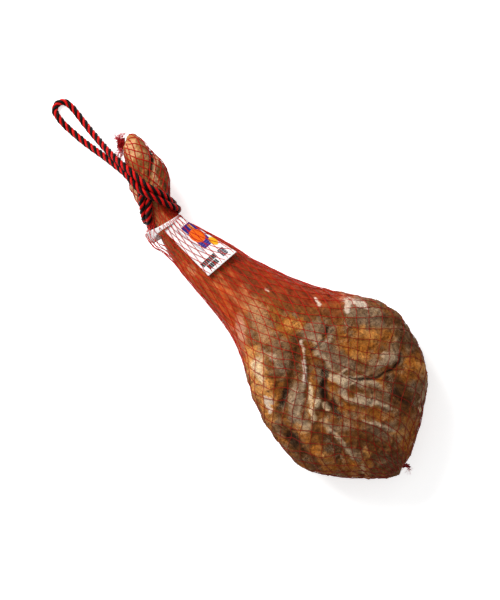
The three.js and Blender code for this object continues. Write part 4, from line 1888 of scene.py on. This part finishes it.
@dataclass
class Gather:
    """Where the net is drawn together: a bound bunch of threads with frayed ends."""

    name: str
    node: str
    centre: Place
    heading: Place
    neck: float
    mouth: Pair  # half height and half depth of the bunch's open end
    length: float
    strands: int
    frays: int
    fray_length: float
    seed: int
    sunk: float = 3.0  # how deep the bunch starts in the net
    bunch_points: int = 9
    fray_points: int = 16
    bunch: Object = field(init=False)
    tuft: Object = field(init=False)

    def build(self, thread: Material, fray: Material) -> None:
        """Lays the bunch's threads side by side, and the loose ends that curl out of it.

        Args:
            thread: the bunch's yarn.
            fray: the loose ends' yarn.
        """
        graph = fray_graph(f"{self.name}_threads")
        bunched = curve_object(f"{self.name}_bunch", self._bunched())
        self.bunch = graph.run(bunched, BOUND.values(thread))
        frayed = curve_object(f"{self.name}_tuft", self._frayed())
        self.tuft = graph.run(frayed, LOOSE.values(fray))

    def _axes(self) -> tuple[Points, Points, Points]:
        """The way the bunch points, and the two ways across it."""
        ahead = np.array(self.heading, float)
        ahead /= np.linalg.norm(ahead)
        side = np.cross((0, 0, 1), ahead)
        side /= np.linalg.norm(side)
        return ahead, side, np.cross(ahead, side)

    def _bunched(self) -> list[Points]:
        """Threads from the neck to the mouth."""
        ahead, side, up = self._axes()
        chance = np.random.default_rng(self.seed)
        lines = []
        for k in range(self.strands):
            turn = 2 * np.pi * k * GOLDEN
            share = math.sqrt((k + 0.5) / self.strands)
            rim = math.cos(turn) * side * self.mouth[0] + math.sin(turn) * up * self.mouth[1]
            reach = self.length * chance.uniform(0.6, 1.0)
            steps = np.linspace(0, 1, self.bunch_points)[:, None]
            pinch = 1 - (1 - self.neck) * np.sin(np.pi * np.clip(steps * 1.25, 0, 1)) ** 2
            lines.append(np.array(self.centre) + ahead * (reach * steps - self.sunk) + rim * share * pinch)
        return lines

    def _frayed(self) -> list[Points]:
        """Loose ends that leave the bunch's rim and turn outwards."""
        ahead, side, up = self._axes()
        chance = np.random.default_rng(self.seed + 1)
        lines = []
        for k in range(self.frays):
            way = 1 if k % 2 else -1
            turn = chance.uniform(-0.75, 0.75)
            out = way * math.cos(turn) * side + math.sin(turn) * up
            start = np.array(self.centre) + ahead * self.length * chance.uniform(0.1, 0.7)
            start = start + out * self.mouth[0] * chance.uniform(0.45, 0.8)
            reach = self.fray_length * chance.uniform(0.5, 1.0)
            steps = np.linspace(0, 1, self.fray_points)[:, None]
            lean = ahead * chance.uniform(-0.1, 0.7)
            lines.append(start + (out + lean * steps) * reach * steps)
        return lines

    def dress(self) -> None:
        """Sets the gather's bunch and tuft on the body in place of its CAD node."""
        for made in (self.bunch, self.tuft):
            finish_piece(made, "net", [self.node])


def fray_graph(name: str) -> GeometryGraph:
    """Threads along an object's curves, curling more and more towards their loose ends.

    Args:
        name: the tree's name.

    Returns:
        The tree, ready to run.
    """
    sizes = ("Radius", "Curl", "Wave")
    g = GeometryGraph(name, number=sizes, count=("Sides",), material=("Material",))
    inputs = {"Curve": g.given["Geometry"], "Count": FRAY_STEPS}
    curve = g.node("GeometryNodeResampleCurve", {"mode": "COUNT"}, inputs).outputs["Curve"]
    factor = g.node("GeometryNodeSplineParameter").outputs["Factor"]
    settings = {"noise_dimensions": "3D", "normalize": False}
    inputs = {"Scale": g.given["Wave"], "Detail": 2.0}
    noise = g.node("ShaderNodeTexNoise", settings, inputs).outputs["Color"]
    reach = g.math("MULTIPLY", g.math("MULTIPLY", factor, g.given["Curl"]), FRAY_GAIN)
    moved = g.shifted(curve, g.vector("SCALE", noise, reach))
    g.end(g.tube(moved, g.circle(g.given["Radius"])), g.given["Material"])
    return g


GATHERS = (
    Gather(
        name="net_toe",
        node="net_gather_hock",
        centre=(15, -10, 57),
        heading=(-0.656, -0.755, 0),
        neck=0.75,
        mouth=(11, 8),
        length=13,
        strands=120,
        frays=90,
        fray_length=10,
        seed=3,
    ),
    Gather(
        name="net_butt",
        node="net_knot_butt",
        centre=(691, -5.5, 57),
        heading=(0.656, 0.755, 0),
        neck=0.7,
        mouth=(3.2, 3.2),
        length=12,
        strands=30,
        frays=20,
        fray_length=4,
        seed=5,
    ),
)


@dataclass(frozen=True)
class ThreadFinish:
    """Red spun yarn."""

    dye: Colour = shown(206, 30, 14)
    dark: Colour = shown(128, 12, 6)
    light: Colour = shown(236, 84, 56)
    ends_tone: Colour = shown(92, 26, 12)
    roughness: float = 0.6
    hock_ends: Pair = (-0.26, -0.22)  # the frame's x where the hock's darkening fades
    butt_starts: Pair = (0.02, 0.16)  # and where the butt's sets in

    def material(self, name: str) -> Material:
        """Yarn with darker and lighter fibres along it, darker still on the hock and the butt.

        Args:
            name: the material's name.

        Returns:
            The yarn's material.
        """
        g = ShaderGraph(name)
        fibres = g.noise(1500, 2, 0.6)
        patches = g.noise(60, 2, 0.5)
        along = g.split(g.place)[0]
        # The yarn is darkened on the hock and on the butt.
        darkened = (1 - along.above(*self.hock_ends)) * 0.4 + along.above(*self.butt_starts)
        colour = g.mix(self.dye, self.dark, fibres.above(0.5, 0.68) * 0.8)
        colour = g.mix(colour, self.light, (1 - fibres).above(0.56, 0.7) * patches.above(0.3, 0.7) * 0.6)
        colour = g.mix(colour, self.ends_tone, darkened.clamped() * (patches * 0.6 + 0.35))
        return g.shade({
            "Base Color": colour,
            "Roughness": (fibres * 0.3 + self.roughness - 0.15).clamped(),
            "Specular IOR Level": 0.1,
            "Normal": g.bump(fibres, 0.3),
        })


# ---- salt ----


@dataclass
class SaltGrains:
    """Grains of salt and flecks of chalk that stand on the rind."""

    density: float = 52000.0  # to the square metre, where the rind is fully chalky
    size: float = 0.42
    seed: int = 7
    made: Object = field(init=False)

    def build(self, ham: Object, material: Material) -> None:
        """Scatters the grains over a copy of the ham.

        Args:
            ham: the finished ham.
            material: the salt.
        """
        graph = grain_graph("salt_scatter")
        copy = new_object("salt_grains", ham.data.copy())
        values = {"Density": self.density, "Size": self.size * MM, "Seed": self.seed, "Material": material}
        self.made = graph.run(copy, values)

    def dress(self) -> None:
        """Sets the grains on the body."""
        finish_piece(self.made, "skin", [])


def grain_graph(name: str) -> GeometryGraph:
    """Small angular grains on an object's faces, where its chalk attribute is high.

    Args:
        name: the tree's name.

    Returns:
        The tree, ready to run.
    """
    g = GeometryGraph(name, number=("Density", "Size"), count=("Seed",), material=("Material",))
    read = g.node("GeometryNodeInputNamedAttribute", {"data_type": "FLOAT"}, {"Name": "chalk"})
    thick = g.math("POWER", read.outputs["Attribute"], 2.0)
    settings = {"distribute_method": "RANDOM"}
    density = g.math("MULTIPLY", thick, g.given["Density"])
    inputs = {"Mesh": g.given["Geometry"], "Density": density, "Seed": g.given["Seed"]}
    scatter = g.node("GeometryNodeDistributePointsOnFaces", settings, inputs).outputs["Points"]
    inputs = {"Radius": g.given["Size"], "Subdivisions": 1}
    grain = g.node("GeometryNodeMeshIcoSphere", None, inputs).outputs["Mesh"]
    turn = g.chance(NO_TURN, FULL_TURN, g.given["Seed"])
    size = g.chance((0.35, 0.35, 0.3), (1.2, 1.1, 0.8), 3)
    g.end(g.strewn(scatter, grain, turn, size), g.given["Material"])
    return g


@dataclass(frozen=True)
class SaltFinish:
    """Off-white salt, a little see-through at its corners."""

    white: Colour = shown(244, 226, 208)
    stained: Colour = shown(206, 160, 124)

    def material(self) -> Material:
        """Grains from white to stained."""
        g = ShaderGraph("salt")
        tint = g.noise(500, 2, 0.6)
        return g.shade({
            "Base Color": g.mix(self.white, self.stained, tint.above(0.45, 0.7)),
            "Roughness": (0.45 + tint * 0.2).clamped(),
        })


# ---- the studio ----


@dataclass
class Studio:
    """A camera straight above, a pale floor, a big soft window of light and a fill."""

    camera_at: Place = (-0.017, -0.024, 3.0)
    camera_turn: float = 49.2
    lens: float = 111.6
    key_at: Place = (-1.95, -0.1, 1.6)
    key_size: float = 1.3
    key_power: float = 81.0
    top_at: Place = (0.0, 0.0, 3.6)
    top_size: float = 3.0
    top_power: float = 20.0
    world: float = 0.42
    floor_white: float = 0.85
    floor_glow: float = 0.53
    floor_reach: float = 6.0

    def place_camera(self) -> None:
        """Looks straight down, turned so that the ham lies from upper left to lower right."""
        data = bpy.data.cameras.new("camera")
        data.sensor_fit = "VERTICAL"
        data.sensor_height = 36
        data.lens = self.lens
        data.clip_end = 50
        camera = new_object("camera", data)
        camera.location = self.camera_at
        camera.rotation_euler = (0, 0, math.radians(self.camera_turn))
        bpy.context.scene.camera = camera

    def light(self) -> None:
        """Sets the lamps, the world and how light is shown as colour."""
        self._lamp("key", self.key_at, self.key_size, self.key_power)
        self._lamp("top", self.top_at, self.top_size, self.top_power)
        world = bpy.data.worlds.new("studio")
        world.use_nodes = True
        sky = world.node_tree.nodes["Background"].inputs
        sky["Color"].default_value = (1, 1, 1, 1)
        sky["Strength"].default_value = self.world
        bpy.context.scene.world = world
        bpy.context.scene.view_settings.view_transform = "Standard"

    def _lamp(self, name: str, place: Place, size: float, power: float) -> None:
        """A square area lamp that faces the ham.

        Args:
            name: the lamp's name.
            place: where it stands, in metres.
            size: the length of its side in metres.
            power: its power in watts.
        """
        data = bpy.data.lights.new(name, "AREA")
        data.size = size
        data.energy = power
        lamp = new_object(name, data)
        lamp.location = place
        lamp.rotation_euler = (-Vector(place)).to_track_quat("-Z", "Y").to_euler()

    def lay_floor(self) -> None:
        """A wide pale floor at the height the ham lies on."""
        reach = self.floor_reach / MM
        corners = [(-reach, -reach, 0), (reach, -reach, 0), (reach, reach, 0), (-reach, reach, 0)]
        floor = mesh_object("floor", corners, [(0, 1, 2, 3)])
        g = ShaderGraph("floor_paper")
        white = (self.floor_white,) * 3
        soft = g.noise(3, 2, 0.5)
        off_white = tuple(0.985 * value for value in white)
        inputs = {
            "Base Color": g.mix(white, off_white, soft),
            "Roughness": 0.9,
            "Emission Color": (1, 1, 1, 1),
            "Emission Strength": self.floor_glow,
        }
        floor.data.materials.append(g.shade(inputs))


def main() -> None:
    """Builds every piece in order."""
    logging.basicConfig(level=logging.INFO, format="%(name)s %(message)s")
    studio = Studio()
    studio.place_camera()
    cord = HangingCord()
    cord.build(CordFinish())
    cord.dress()

    ham = Ham()
    ham.build()
    ham.dress(RindFinish())
    skin = surface_of(ham.made)
    tag = HangTag()
    tag.build(skin)
    tag.dress(CardFinish())

    yarn = ThreadFinish().material("net_yarn")
    deep = ThreadFinish(shown(170, 12, 14), shown(66, 3, 5), shown(222, 44, 38), shown(110, 6, 8))
    loose = ThreadFinish(shown(206, 60, 72), shown(156, 26, 36), shown(238, 132, 138), shown(196, 58, 68))
    wrapping = Wrapping()
    wrapping.measure([skin, surface_of(tag.card), surface_of(tag.band)])
    net = Net()
    net.build(wrapping, yarn)
    net.dress()
    for gather in GATHERS:
        gather.build(deep.material(f"{gather.name}_yarn"), loose.material(f"{gather.name}_fray"))
        gather.dress()
    salt = SaltGrains()
    salt.build(ham.made, SaltFinish().material())
    salt.dress()

    studio.light()
    studio.lay_floor()


if __name__ == "__main__":
    main()
